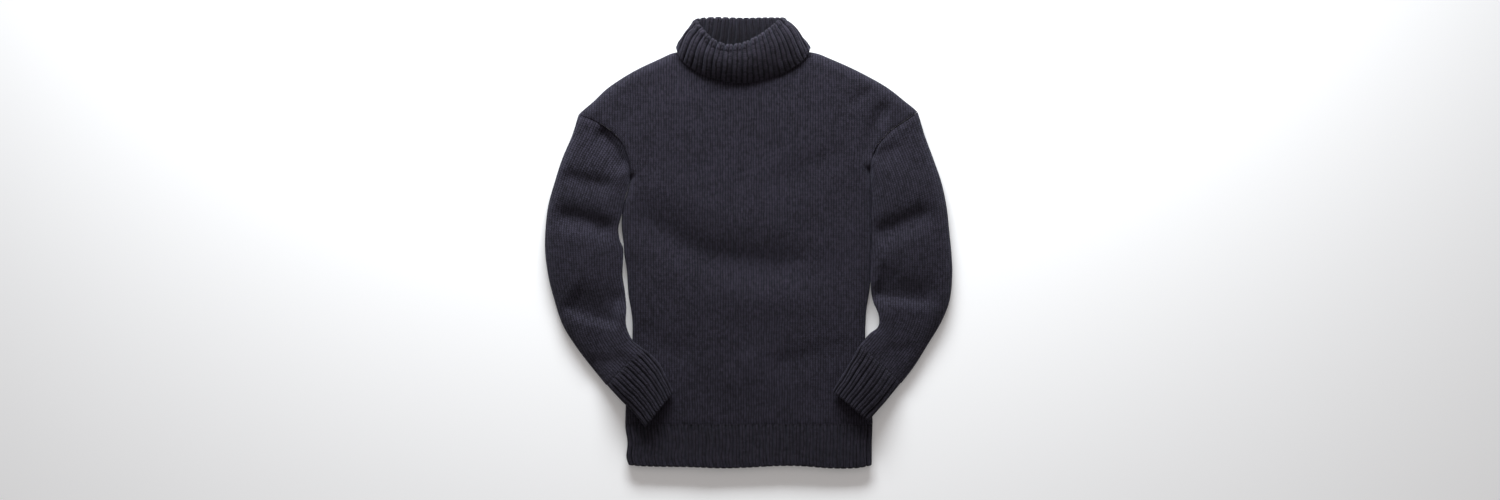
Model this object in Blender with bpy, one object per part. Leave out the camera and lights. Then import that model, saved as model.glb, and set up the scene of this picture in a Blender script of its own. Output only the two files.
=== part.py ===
"""A submariner sweater laid flat: roll collar, ribbed hem and cuffs, sleeves bent over the front.

The sweater lies on its back. +X is the wearer's left, +Y points to the collar and +Z is up.
Each knitted panel is a wall of its own, about 0.3 mm from its neighbours at the seams.
Tables are in millimetres, in plan from near the middle of the outline and up from the floor.
"""

import math
from collections import namedtuple

import bmesh
import bpy
import numpy as np

MM = 0.001

# Driving dimensions
WALL = 4.0              # thick jersey
RIB_WALL = 4.2          # rib knit, between its grooves
RIB_RELIEF = 1.8        # from groove to crest
SEAM_GAP = 0.3
EDGE_RADIUS = 13.0      # how far in the rounded side folds reach, seen from above
SEAM_HEIGHT = 9.5       # height of the side and shoulder seams above the floor
RIB_TOP_Y = -319.5      # where the hem rib meets the jersey
HEM_RIBS = 37           # across the front
CUFF_RIBS = 15          # all round
COLLAR_RIBS = 32        # all round
FOLD_RADIUS = 2.6       # from the middle of the collar's fold to the middle of its wall
ROLL_RADIUS = 5.2       # the same at the front, where the fold is a fat roll
ROLL_HEIGHTS = (16.0, 34.0)     # between these heights of the fold it grows fat
FLAP_BULGE = 1.6        # how far the turned-down front of the collar bellies out
BELLY_LOW = 1.3         # how much lower than its middle that belly is
BELLY_FACES = (0.6, 0.9)        # how far up the collar faces where the belly starts and is full
CROWN = 0.10            # how much lower the front lies at the shoulder points than in the middle
SLEEVE_CROWN = 0.22     # how much lower a sleeve's upper side lies near its folded edges
REST_GAP = 0.6          # between the front and what lies on it
FLAP_LIFT = 5.2         # how far the collar's folded back raises the back neckline
FLAP_EDGE_Y = 315.0     # the collar's edge under the back, on the middle line
FLAP_EDGE_BEND = 0.0012  # how fast that edge rises towards the sides
FLAP_EDGE_X = -10.0
COLLAR_REACH = 7.0      # how far past the neckline the front still carries the collar

ORIGIN = (-0.2, -1.3, 0.0)  # middle of the whole outline, in the frame of the tables

# Outlines of the torso, seen from above
SIDE_SEAM = {
    "right": ((-206, 112), (-213, 88), (-221, 60), (-223, 30), (-219.5, -5), (-218.5, -22),
              (-214, -50), (-211, -92), (-204.5, -135), (-205, -185), (-210, -230),
              (-215, -272), (-216.5, -308), (-216.5, -326), (-213, -352), (-215, -376), (-211, -391)),
    "left": ((211, 126), (214.8, 102), (215.6, 75), (215.6, 40), (215.4, 0), (214.9, -40), (212.5, -80),
             (206, -125), (204.5, -180), (208, -230), (213, -272), (217, -308), (217, -326),
             (216, -352), (216, -376), (216, -391)),
}
ARMHOLE = {
    "right": ((-206, 112), (-209, 142), (-217, 166), (-231, 186), (-249, 201), (-271, 214), (-298, 224)),
    "left": ((211, 126), (214, 144), (221, 163), (233, 180), (249, 196), (272, 212), (296, 228)),
}
SHOULDER = {
    "right": ((-298, 224), (-273, 246), (-245, 272), (-201, 300), (-157, 321),
              (-133, 331.5), (-110, 334)),
    "left": ((296, 228), (275, 246), (240, 273), (189, 301), (141, 322.5), (115, 332), (84, 334)),
}
FRONT_NECK = ((-110, 334), (-103, 322), (-85, 310), (-59, 301), (-15, 296), (28, 299), (55, 306),
              (76, 318), (84, 334))
BACK_NECK = ((-110, 334), (-85, 327), (-50, 323), (-10, 322), (28, 323), (60, 327), (84, 334))
HEM_LINE = ((-211, -391), (-173, -393), (-103, -394), (-50, -396), (-7, -395), (46, -392), (90, -392),
            (142, -396), (186, -396), (216, -391))

# How high the front lies above the floor, at each distance from the hem to the neck
HEIGHT_Y = (-396, -320, -200, -50, 80, 180, 250, 300, 340)
HEIGHT_Z = (18, 19, 20.5, 22, 24, 25.5, 25.5, 24.5, 24)

# A sleeve's sections, from the armhole to the cuff. The outer edge is the one away from the body.
Section = namedtuple("Section", "outer_x outer_y inner_x inner_y height")
SLEEVE = {
    "right": (
        Section(-298, 224, -206, 112, 26),
        Section(-309, 189, -211, 95, 27),
        Section(-325, 147, -219, 72, 29),
        Section(-337, 105, -225.5, 48, 30),
        Section(-350, 63, -229, 24, 30),
        Section(-357, 18, -226, 0, 30),
        Section(-357, -21, -219.8, -24, 29),
        Section(-351, -63, -221, -56, 28),
        Section(-342, -98, -217, -85, 27),
        Section(-327, -144, -214, -115, 26),
        Section(-304, -182, -214, -145, 25),
        Section(-276, -219, -203, -171, 24),
        Section(-250, -250, -186, -184, 22),
    ),
    "left": (
        Section(296, 228, 211, 126, 26),
        Section(308, 189, 216.0, 102, 27),
        Section(322, 147, 216.6, 76, 29),
        Section(335, 105, 216.6, 50, 30),
        Section(344, 63, 216.5, 24, 30),
        Section(352, 18, 216.3, -5, 30),
        Section(356, -24, 215.9, -36, 29),
        Section(357, -60, 215.0, -68, 28),
        Section(350, -102, 216.5, -100, 27),
        Section(335, -140, 227, -128, 26),
        Section(314, -180, 226, -148, 25),
        Section(291, -217, 211, -160, 24),
        Section(268, -247, 195, -178, 22),
    ),
}
CUFF = {
    "right": (
        Section(-250, -250, -186, -184, 22),
        Section(-225, -275, -160, -208, 21),
        Section(-199, -301, -144, -237, 20),
        Section(-181, -323, -132, -262, 19),
    ),
    "left": (
        Section(268, -247, 195, -178, 22),
        Section(245, -273, 178, -210, 21),
        Section(224, -296, 161, -237, 20),
        Section(210, -312, 147, -260, 19),
    ),
}
LIFT_STARTS_Y = -95     # below this the sleeves climb onto the body
LIFT_ENDS_Y = -135
SOFT_RAMP = 60.0        # how far outside the body the upper side starts to climb
HARD_RAMP = 30.0        # and the lower side
RIB_UNDER_CUFF_Y = -296.0   # below this a cuff also climbs the hem rib's crests

# The collar, every two ribs from the middle of the back round by the wearer's right: where its
# standing wall starts, where it folds over, and where the turned-down part ends
Station = namedtuple("Station", "base fold edge")
COLLAR = (
    Station((-10, 323.5, 7.2), (-10, 392, 5.2), (-10, 315, 2.6)),
    Station((-40, 324, 7.2), (-34, 392.5, 5.2), (-45, 316.5, 2.6)),
    Station((-69, 327, 7.2), (-59, 393, 5.2), (-80, 321, 2.6)),
    Station((-96, 334.5, 8.4), (-83, 391, 7.4), (-113, 333, 3.8)),
    Station((-105, 338, 15), (-90, 384.5, 19), (-126, 341, 15)),
    Station((-101, 326, 21.5), (-83, 371.5, 35), (-114, 316, 27)),
    Station((-78, 310, 22), (-66, 353, 42.5), (-84, 295.5, 28)),
    Station((-47, 301.5, 22), (-41, 342, 44.5), (-49, 284, 28)),
    Station((-14, 299, 22), (-12, 344.5, 44.5), (-12, 279, 28)),
    Station((19, 300, 22), (15, 357, 44.5), (27, 285.5, 28)),
    Station((50, 306, 22), (38, 373, 42), (64, 298.5, 28)),
    Station((76, 326, 21.5), (55, 386, 35), (95, 319, 27)),
    Station((80, 338, 15), (60.5, 390, 19), (107, 341, 15)),
    Station((71, 334.5, 8.4), (55.5, 392.5, 7.4), (95, 334, 3.8)),
    Station((45, 326.5, 7.2), (34, 393, 5.2), (62, 321, 2.6)),
    Station((18, 324, 7.2), (12, 392.5, 5.2), (27, 316.5, 2.6)),
)

# Folds: a line through three places, its width towards the collar and towards the hem, and how
# far the cloth rises along it, or sinks where the number is negative
Fold = namedtuple("Fold", "start middle end upper lower rise")
FRONT_FOLDS = (
    Fold((-196, 84), (-78, -22), (150, -30), 20, 34, -5.0),
    Fold((-180, 130), (-60, 52), (110, 28), 46, 26, 3.0),
    Fold((20, 92), (116, 112), (200, 86), 22, 26, -2.2),
    Fold((236, 262), (200, 244), (168, 222), 12, 14, -3.0),
    Fold((-60, -110), (60, -104), (168, -112), 34, 26, 2.4),
    Fold((30, -210), (107, -198), (186, -170), 16, 28, -2.6),
    Fold((-196, -186), (-128, -176), (-56, -150), 18, 28, -2.4),
    Fold((-40, -262), (-14, -226), (14, -186), 22, 22, 2.0),
)
SLEEVE_FOLDS = {
    "right": (
        Fold((-312, 100), (-262, 92), (-222, 100), 14, 20, -3.5),
        Fold((-336, 46), (-280, 38), (-228, 26), 15, 22, -5.5),
        Fold((-346, -4), (-304, -12), (-250, -6), 24, 24, 2.5),
        Fold((-330, -104), (-270, -116), (-220, -92), 18, 30, -6.0),
        Fold((-300, -160), (-262, -162), (-224, -150), 20, 18, 2.5),
        Fold((-280, -204), (-244, -208), (-212, -192), 12, 16, -3.0),
    ),
    "left": (
        Fold((218, 158), (240, 142), (268, 158), 12, 18, -3.5),
        Fold((220, 24), (262, 38), (322, 62), 15, 22, -5.0),
        Fold((236, -20), (280, -22), (330, -14), 24, 24, 2.2),
        Fold((222, -70), (258, -88), (328, -92), 16, 28, -5.5),
        Fold((240, -140), (270, -136), (310, -130), 18, 18, 2.2),
        Fold((232, -186), (262, -190), (294, -180), 12, 16, -2.6),
    ),
}

# How finely the walls are cut
CURVE_STEPS = 12                    # for each row of a table
EDGE_OFFSETS = (0.0, 2.0, 6.5, 13.0)
NOTCH = 3.0                         # the last step before the armpit, where the wall turns back
ARMHOLE_SPANS = 5
FRONT_ROWS = 22
FRONT_SPANS = (7, 9, 7)             # columns to the neck, across it, and on to the other side
BACK_ROWS = 10
BACK_SPANS = (3, 4, 3)
SLEEVE_RINGS = 22
CUFF_RINGS = 5
HEM_ROWS = (1.0, 0.66, 0.33, 0.03, 0.0)
EDGE_SAMPLES = 14                   # round a folded edge, before the ribs are spaced out
HEM_SAMPLES = 60
CUFF_SAMPLES = 20
LAST_CUFF_STEP = 0.06               # of a row of the table, just before the free edge
FOLD_SPANS = 16
EDGE_THINNING = 1.2                 # takes the sharpness off the free edges
RIB_POINTS = 3                      # one in the groove, two on the crest
STAND_ROWS = 3
FLAP_ROWS = 4
TURN_STEPS = 4

NAVY = (0.024, 0.022, 0.034, 1.0)
WOOL_ROUGHNESS = 0.92


def smoothstep(value):
    value = np.clip(value, 0.0, 1.0)
    return value * value * (3.0 - 2.0 * value)


def blend(first, second, share):
    return first + (second - first) * share


def unit(vectors):
    return vectors / np.maximum(np.linalg.norm(vectors, axis=-1, keepdims=True), 1e-9)


def spline(rows, places, closed=False):
    """Points on a smooth line through the rows of a table; place 1.5 is half way from row 1 to 2."""
    rows = np.asarray(rows, float)
    count = len(rows)
    places = np.asarray(places, float)
    first = np.floor(places).astype(int)
    if not closed:
        first = np.clip(first, 0, count - 2)
    part = (places - first).reshape(places.shape + (1,) * (rows.ndim - 1))

    def row(index):
        if closed:
            return rows[index % count]
        before = 2.0 * rows[0] - rows[1]
        after = 2.0 * rows[-1] - rows[-2]
        return np.concatenate([[before], rows, [after]])[np.clip(index + 1, 0, count + 1)]

    a, b, c, d = (row(first + shift) for shift in (-1, 0, 1, 2))
    cubic = 3.0 * (b - c) + d - a
    square = 2.0 * a - 5.0 * b + 4.0 * c - d
    return b + 0.5 * part * ((c - a) + part * (square + part * cubic))


def dense(rows):
    """A table's smooth line as many short steps."""
    spans = len(rows) - 1
    return spline(rows, np.linspace(0.0, spans, spans * CURVE_STEPS + 1))


def lengths(line):
    steps = np.linalg.norm(np.diff(line, axis=0), axis=1)
    return np.concatenate([[0.0], np.cumsum(steps)])


def resample(line, distances, *others):
    """The places at the given distances along a line, with other values carried along it."""
    along = lengths(line)
    results = []
    for values in (line,) + others:
        columns = [np.interp(distances, along, values[:, k]) for k in range(values.shape[1])]
        results.append(np.stack(columns, axis=1))
    return results if others else results[0]


def nearest(path, places):
    """Distance from each place to a path, where on the path that is, and on which side of it."""
    start = path[:-1]
    step = np.diff(path, axis=0)
    gap = places[:, None, :] - start[None]
    along = np.clip((gap * step).sum(-1) / (step * step).sum(-1), 0.0, 1.0)
    off = gap - along[..., None] * step
    size = np.hypot(off[..., 0], off[..., 1])
    best = size.argmin(axis=1)
    rows = np.arange(len(places))
    side = np.sign(step[best, 0] * off[rows, best, 1] - step[best, 1] * off[rows, best, 0])
    return size[rows, best], best + along[rows, best], side


def fold_rise(folds, places):
    """How far a set of folds moves the cloth up at each place."""
    total = np.zeros(len(places))
    for fold in folds:
        share = np.linspace(0.0, 1.0, FOLD_SPANS + 1)[:, None]
        start, middle, end = (np.array(place, float) for place in (fold.start, fold.middle, fold.end))
        control = 2.0 * middle - 0.5 * (start + end)
        path = (1 - share) ** 2 * start + 2 * share * (1 - share) * control + share ** 2 * end
        distance, where, _ = nearest(path, places)
        steps = np.arange(FOLD_SPANS + 1)
        foot = np.stack([np.interp(where, steps, path[:, k]) for k in (0, 1)], axis=1)
        width = np.where(places[:, 1] > foot[:, 1], fold.upper, fold.lower)
        fade = smoothstep(4.0 * np.minimum(where, FOLD_SPANS - where) / FOLD_SPANS + 0.15)
        total += fold.rise * np.exp(-(distance / width) ** 2) * fade
    return total


class Outline:
    """An edge where the cloth folds round to the other side, with the way out at each place."""

    def __init__(self, rows, outward_at_start=None, turn=1.0):
        self.path = dense(rows)
        step = unit(np.gradient(self.path, axis=0))
        self.outward = turn * np.stack([step[:, 1], -step[:, 0]], axis=1)
        if outward_at_start is not None:
            self.outward[0] = outward_at_start

    def at(self, places):
        distance, where, _ = nearest(self.path, places)
        rows = np.arange(len(self.path))
        outward = [np.interp(where, rows, self.outward[:, k]) for k in (0, 1)]
        return distance, unit(np.stack(outward, axis=1))


def edges_of(hand):
    """The folded edges beside one hand's armhole: those of the torso and those of the sleeve."""
    turn = 1.0 if hand == "right" else -1.0
    down_groove = (0.0, -1.0)
    outer = [(s.outer_x, s.outer_y) for s in SLEEVE[hand] + CUFF[hand][1:]]
    inner = [(s.inner_x, s.inner_y) for s in SLEEVE[hand] + CUFF[hand][1:]]
    over = SHOULDER[hand][::-1] + tuple(outer[1:])
    shoulder_rows = len(SHOULDER[hand])
    torso = (Outline(over[:shoulder_rows + 3], turn=turn),
             Outline(SIDE_SEAM[hand], down_groove, turn))
    sleeve = (Outline(over[shoulder_rows - 4:], turn=turn), Outline(inner, down_groove, -turn))
    return torso, sleeve


def turn_at(edges, places):
    """Cosine and sine of the wall's turn round the nearest edge, and the way out there."""
    found = [edge.at(places) for edge in edges]
    distances = np.stack([distance for distance, _ in found])
    ways = np.stack([way for _, way in found])
    best = distances.argmin(axis=0)
    rows = np.arange(len(places))
    cosine = 1.0 - np.clip(distances[best, rows] / EDGE_RADIUS, 0.0, 1.0)
    return cosine, np.sqrt(1.0 - cosine ** 2), ways[best, rows]


def direction(way, cosine, upward):
    return np.concatenate([way * cosine[:, None], upward[:, None]], axis=1)


EDGES = {hand: edges_of(hand) for hand in ("right", "left")}
TORSO_EDGES = EDGES["right"][0] + EDGES["left"][0]


def front_full(places):
    """Height of the front above the floor away from its edges."""
    height = np.interp(places[:, 1], HEIGHT_Y, HEIGHT_Z)
    return height * (1.0 - CROWN * (places[:, 0] / 300.0) ** 2) + fold_rise(FRONT_FOLDS, places)


def front_surface(places):
    """Outer face of the front at each place, and the way out of its wall."""
    cosine, sine, way = turn_at(TORSO_EDGES, places)
    height = SEAM_HEIGHT + (front_full(places) - SEAM_HEIGHT) * sine + 0.5 * SEAM_GAP * cosine
    return np.column_stack([places, height]), direction(way, cosine, sine)


def back_surface(places):
    """Outer face of the back, which lies on the floor and on the collar's folded edge."""
    cosine, sine, way = turn_at(TORSO_EDGES, places)
    flap_edge = FLAP_EDGE_Y + FLAP_EDGE_BEND * (places[:, 0] - FLAP_EDGE_X) ** 2
    base = FLAP_LIFT * smoothstep((places[:, 1] - flap_edge + 18.0) / 14.0)
    height = SEAM_HEIGHT - (SEAM_HEIGHT - base) * sine - 0.5 * SEAM_GAP * cosine
    return np.column_stack([places, height]), direction(way, cosine, -sine)


def body_lift(places, ramp):
    """How far the body under a sleeve lifts it, starting a ramp's length outside the body."""
    right = dense(SIDE_SEAM["right"])[::-1]
    left = dense(SIDE_SEAM["left"])[::-1]
    x, y = places[:, 0], places[:, 1]
    inside = np.minimum(x - np.interp(y, right[:, 1], right[:, 0]),
                        np.interp(y, left[:, 1], left[:, 0]) - x)
    onto = smoothstep((LIFT_STARTS_Y - y) / (LIFT_STARTS_Y - LIFT_ENDS_Y))
    rib = RIB_RELIEF * 0.5 * smoothstep((RIB_UNDER_CUFF_Y - y) / 14.0)
    return onto * (front_full(places) + rib + REST_GAP) * smoothstep(inside / ramp + 1.0)


def sleeve_surface(hand, places, share, height, start, rise):
    """Outer faces of a sleeve, above and below, and the ways out of its wall.

    start is 1 at the armhole, where the sleeve takes the torso's height, and 0 further down.
    rise lifts the whole tube, as under a cuff whose ribs stand out below it.
    """
    cosine, sine, way = turn_at(EDGES[hand][1], places)
    soft = body_lift(places, SOFT_RAMP)
    hard = body_lift(places, HARD_RAMP) + rise
    full = soft + rise + height * (1.0 - SLEEVE_CROWN * (2.0 * share - 1.0) ** 2)
    full = full + fold_rise(SLEEVE_FOLDS[hand], places)
    full = blend(full, front_full(places), start)
    middle = np.maximum(soft, hard) + SEAM_HEIGHT
    above = np.column_stack([places, middle + (full - middle) * sine])
    below = np.column_stack([places, middle - (middle - hard) * sine])
    return above, below, direction(way, cosine, sine), direction(way, cosine, -sine)


class Wall:
    """A closed cloth wall, gathered from grids of points."""

    def __init__(self, name):
        self.name = name
        self.points = []
        self.faces = []

    def add(self, grid):
        grid = np.asarray(grid, float)
        start = len(self.points)
        self.points.extend(grid.reshape(-1, 3))
        return np.arange(start, len(self.points)).reshape(grid.shape[:-1])

    def sheet(self, grid, around=False):
        """Join a grid of points with four-sided faces, also round from its last column."""
        rows, columns = grid.shape
        for i in range(rows - 1):
            for j in range(columns if around else columns - 1):
                k = (j + 1) % columns
                self.faces.append((grid[i, j], grid[i, k], grid[i + 1, k], grid[i + 1, j]))

    def join(self, first, second):
        """Fill the strip between two lines of points, always across the shorter diagonal."""
        i = j = 0
        last_i, last_j = len(first) - 1, len(second) - 1
        place = self.points
        while i < last_i or j < last_j:
            ahead = back = math.inf
            if i < last_i:
                ahead = np.linalg.norm(place[first[i + 1]] - place[second[j]])
            if j < last_j:
                back = np.linalg.norm(place[first[i]] - place[second[j + 1]])
            if ahead <= back:
                self.faces.append((first[i], first[i + 1], second[j]))
                i += 1
            else:
                self.faces.append((first[i], second[j + 1], second[j]))
                j += 1

    def build(self):
        mesh = bpy.data.meshes.new(self.name)
        points = (np.array(self.points) - ORIGIN) * MM
        mesh.from_pydata(points.tolist(), [], [tuple(map(int, face)) for face in self.faces])
        work = bmesh.new()
        work.from_mesh(mesh)
        bmesh.ops.recalc_face_normals(work, faces=work.faces)
        if work.calc_volume(signed=True) < 0.0:
            bmesh.ops.reverse_faces(work, faces=work.faces)
        work.to_mesh(mesh)
        work.free()
        mesh.materials.append(wool(self.name))
        mesh.shade_smooth()
        piece = bpy.data.objects.new(self.name, mesh)
        bpy.context.scene.collection.objects.link(piece)
        return piece


def wool(name):
    material = bpy.data.materials.new("wool_" + name)
    material.use_nodes = True
    shader = material.node_tree.nodes["Principled BSDF"]
    shader.inputs["Base Color"].default_value = NAVY
    shader.inputs["Roughness"].default_value = WOOL_ROUGHNESS
    shader.inputs["Metallic"].default_value = 0.0
    return material


def panel_wall(name, outside, inside):
    """A wall between two grids, closed along their four sides."""
    wall = Wall(name)
    outer, inner = wall.add(outside), wall.add(inside)
    wall.sheet(outer)
    wall.sheet(inner)
    for line in (np.s_[0, :], np.s_[-1, :], np.s_[:, 0], np.s_[:, -1]):
        wall.join(outer[line], inner[line])
    return wall.build()


def tube_wall(name, outside, inside):
    """A wall between two grids that go all the way round, closed at both ends."""
    wall = Wall(name)
    outer, inner = wall.add(outside), wall.add(inside)
    wall.sheet(outer, around=True)
    wall.sheet(inner, around=True)
    for end in (0, -1):
        wall.join(np.append(outer[end], outer[end, 0]), np.append(inner[end], inner[end, 0]))
    return wall.build()


def edge_steps(width, samples):
    """Distances across a flattened piece, closest together where it folds over."""
    edge = np.linspace(0.0, EDGE_RADIUS, EDGE_SAMPLES) ** 2 / EDGE_RADIUS
    middle = np.linspace(EDGE_RADIUS, width - EDGE_RADIUS, samples)
    return np.concatenate([edge[:-1], middle, width - edge[-2::-1]])


def spread(length, spans):
    """Distances along a line: close together at both folded ends, even between them."""
    edge = np.array(EDGE_OFFSETS)
    middle = np.linspace(edge[-1], length - edge[-1], spans + 1)
    return np.concatenate([edge[:-1], middle, length - edge[-2::-1]])


def armhole_places(hand):
    """Places along an armhole from the armpit to the shoulder point, shared by all that meet there."""
    line = dense(ARMHOLE[hand])
    return resample(line, spread(lengths(line)[-1], ARMHOLE_SPANS))


def hem_rows(x):
    line = dense(HEM_LINE)
    return np.interp(x, line[:, 0], line[:, 1])


def side_below_armhole(hand, rows):
    """Places up the side seam from the top of the hem rib to the armpit."""
    line = dense(SIDE_SEAM[hand])[::-1]
    distance = np.interp(RIB_TOP_Y + SEAM_GAP, line[:, 1], lengths(line))
    end = lengths(line)[-1]
    return resample(line, np.append(np.linspace(distance, end - NOTCH, rows), end))


def torso_panel(name, surface, neck_rows, rows, spans, inside_step):
    """The front or the back: a grid between its sides, armholes, shoulders and neckline.

    Below the armpits the inside has every inside_step-th row only.
    """
    right, left = (np.concatenate([side_below_armhole(hand, rows), armhole_places(hand)[1:]])
                   for hand in ("right", "left"))
    height = np.linspace(0.0, 1.0, len(right))
    neck = dense(neck_rows)
    top_line = np.concatenate([dense(SHOULDER["right"]), neck[1:-1], dense(SHOULDER["left"])[::-1]])
    start, end = right[-1, 0] + EDGE_RADIUS, left[-1, 0] - EDGE_RADIUS
    stops = np.array([start, neck[0, 0], neck[-1, 0], end])
    shares = (stops - start) / (end - start)
    middle = [np.linspace(shares[k], shares[k + 1], spans[k] + 1)[1 if k else 0:] for k in range(3)]
    middle = np.concatenate(middle)
    places = []
    for i in range(len(right)):
        inner_start, inner_end = right[i, 0] + EDGE_RADIUS, left[i, 0] - EDGE_RADIUS
        x = np.concatenate([right[i, 0] + np.array(EDGE_OFFSETS[:-1]),
                            blend(inner_start, inner_end, middle),
                            left[i, 0] - np.array(EDGE_OFFSETS[-2::-1])])
        share = (x - right[i, 0]) / (left[i, 0] - right[i, 0])
        top_x = blend(right[-1, 0], left[-1, 0], share)
        level = blend(right[i, 1], left[i, 1], share)
        top = np.interp(top_x, top_line[:, 0], top_line[:, 1]) - blend(right[-1, 1], left[-1, 1], share)
        places.append(np.column_stack([x, level + height[i] * top]))
    grid = np.array(places)
    outer, way = surface(grid.reshape(-1, 2))
    shape = grid.shape[:2] + (3,)
    inner = (outer - WALL * way).reshape(shape)
    plain = rows - 2
    kept = np.append(np.arange(0, plain, inside_step), np.arange(plain, len(inner)))
    return panel_wall(name, outer.reshape(shape), inner[kept])


def rib_wave(count):
    """Relief at each point of a ribbed line: down in the groove, up on the crest."""
    wave = np.where(np.arange(count) % RIB_POINTS == 0, -0.5, 0.5)
    return RIB_RELIEF * wave[:, None]


def ribbed_hem(name, surface, ribs):
    """The hem rib of the front or the back; ribs is 0 where it rests on the floor."""
    plain_spans = HEM_RIBS
    right, left = (dense(SIDE_SEAM[hand])[::-1] for hand in ("right", "left"))
    outside, inside = [], []
    for share in HEM_ROWS:
        ends = [np.interp(blend(side[0, 1], RIB_TOP_Y, share), side[:, 1], side[:, 0])
                for side in (right, left)]
        x = ends[0] + edge_steps(ends[1] - ends[0], HEM_SAMPLES)
        line, way = surface(np.column_stack([x, blend(hem_rows(x), RIB_TOP_Y, share)]))
        total = lengths(line)[-1]
        fine = ribs * RIB_POINTS if ribs else plain_spans
        points, ways = resample(line, np.linspace(0.0, total, fine + 1), way)
        relief = rib_wave(fine + 1) if ribs else np.zeros((fine + 1, 1))
        thin = EDGE_THINNING if share == 0.0 else 0.0
        outside.append(points + unit(ways) * (relief - thin))
        points, ways = resample(line, np.linspace(0.0, total, plain_spans + 1), way)
        deep = RIB_WALL if not ribs else RIB_WALL + 0.5 * RIB_RELIEF
        inside.append(points - unit(ways) * (deep - thin))
    return panel_wall(name, outside, inside)


def section_values(sections, place):
    rows = np.array(sections, float)
    values = spline(rows, np.array([place]))[0]
    return values[:2], values[2:4], values[4]


def sleeve(hand):
    """A sleeve as a flattened tube from the armhole to the cuff."""
    sections = SLEEVE[hand]
    armhole = armhole_places(hand)[::-1]
    along = spread(lengths(armhole)[-1], ARMHOLE_SPANS) / lengths(armhole)[-1]
    bulge = armhole - blend(armhole[0], armhole[-1], along[:, None])
    away = np.array([-1.0 if hand == "right" else 1.0, -1.0]) * SEAM_GAP
    outside, inside = [], []
    first = NOTCH / abs(sections[0].inner_y - sections[1].inner_y)
    for place in np.append(0.0, np.linspace(first, len(sections) - 1, SLEEVE_RINGS)):
        outer_edge, inner_edge, height = section_values(sections, place)
        chord = inner_edge - outer_edge
        width = np.linalg.norm(chord)
        near = 1.0 - smoothstep(place / 2.5)
        share = blend(spread(width, ARMHOLE_SPANS) / width, along, near)
        places = blend(outer_edge, inner_edge, share[:, None]) + near * bulge + near * away
        if place == len(sections) - 1:
            across = unit(np.array([-chord[1], chord[0]]))
            places = places + SEAM_GAP * across * np.sign(across[1])
        above, below, up, down = sleeve_surface(hand, places - near * away, share, height, near, 0.0)
        above[:, :2] = places
        below[:, :2] = places
        late = smoothstep((place - len(sections) + 3.5) / 2.5)
        flat = unit(chord) * np.sign(2.0 * share - 1.0)[:, None]
        for way in (up, down):
            size = np.linalg.norm(way[:, :2], axis=1, keepdims=True)
            way[:, :2] = size * unit(blend(way[:, :2], size * flat, late))
        ring = np.concatenate([above, below[-2:0:-1]])
        ways = np.concatenate([up, down[-2:0:-1]])
        outside.append(ring)
        inside.append(ring - WALL * ways)
    return tube_wall("sleeve_" + hand, outside, inside)


def cuff(hand):
    """A ribbed cuff lying on the front."""
    sections = CUFF[hand]
    plain_spans = 2 * CUFF_RIBS
    outside, inside = [], []
    places_along = list(np.linspace(0.0, len(sections) - 1, CUFF_RINGS + 1))
    places_along.insert(-1, places_along[-1] - LAST_CUFF_STEP)
    for place in places_along:
        outer_edge, inner_edge, height = section_values(sections, place)
        chord = inner_edge - outer_edge
        width = np.linalg.norm(chord)
        across = edge_steps(width, CUFF_SAMPLES) / width
        places = blend(outer_edge, inner_edge, across[:, None])
        above, below, up, down = sleeve_surface(hand, places, across, height, 0.0, 0.5 * RIB_RELIEF)
        flat = unit(chord) * np.sign(2.0 * across - 1.0)[:, None]
        for way in (up, down):
            way[:, :2] = np.linalg.norm(way[:, :2], axis=1, keepdims=True) * flat
        ring = np.concatenate([above, below[-2::-1]])
        ways = np.concatenate([up, down[-2::-1]])
        total = lengths(ring)[-1]
        thin = EDGE_THINNING if place == places_along[-1] else 0.0
        fine = CUFF_RIBS * RIB_POINTS
        points, outward = resample(ring, np.linspace(0.0, total, fine + 1)[:-1], ways)
        outside.append(points + unit(outward) * (rib_wave(fine) - thin))
        points, outward = resample(ring, np.linspace(0.0, total, plain_spans + 1)[:-1], ways)
        inside.append(points - unit(outward) * (RIB_WALL + 0.5 * RIB_RELIEF - thin))
    return tube_wall("cuff_" + hand, outside, inside)


def collar_profile(places):
    """Middle of the collar's wall and its ribbed side's direction, along each rib place.

    The wall runs from the neckline up to the fold, round it, and down the outside to its edge.
    """
    base, fold, edge = (spline([getattr(row, part) for row in COLLAR], places, closed=True)
                        for part in ("base", "fold", "edge"))
    step = 0.01
    fold_way, edge_way = (spline([getattr(row, part) for row in COLLAR], places + step, closed=True)
                          - spline([getattr(row, part) for row in COLLAR], places - step, closed=True)
                          for part in ("fold", "edge"))
    up = unit(fold - base)
    outward = unit(np.cross(unit(fold_way), up))
    fat = smoothstep((fold[..., 2:] - ROLL_HEIGHTS[0]) / (ROLL_HEIGHTS[1] - ROLL_HEIGHTS[0]))
    radius = blend(FOLD_RADIUS, ROLL_RADIUS, fat)
    turn_centre = fold - (radius + 0.5 * RIB_WALL) * up
    stand_end = turn_centre - radius * outward
    flap_start = turn_centre + radius * outward
    flap_outward = unit(np.cross(unit(edge_way), unit(flap_start - edge)))
    middles, ways = [], []
    for share in np.linspace(0.0, 1.0, STAND_ROWS + 1)[:-1]:
        middles.append(blend(base, stand_end, share))
        ways.append(-outward)
    for angle in np.linspace(0.0, math.pi, TURN_STEPS + 1):
        way = math.sin(angle) * up - math.cos(angle) * outward
        middles.append(turn_centre + radius * way)
        ways.append(way)
    facing_up = smoothstep((flap_outward[..., 2:] - BELLY_FACES[0]) / (BELLY_FACES[1] - BELLY_FACES[0]))
    for share in np.linspace(0.0, 1.0, FLAP_ROWS + 1)[1:]:
        way = unit(blend(outward, flap_outward, smoothstep(share)))
        bulge = FLAP_BULGE * math.sin(math.pi * share ** BELLY_LOW) * facing_up
        middles.append(blend(flap_start, edge, share) + bulge * way)
        ways.append(way)
    return np.array(middles), np.array(ways)


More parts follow.
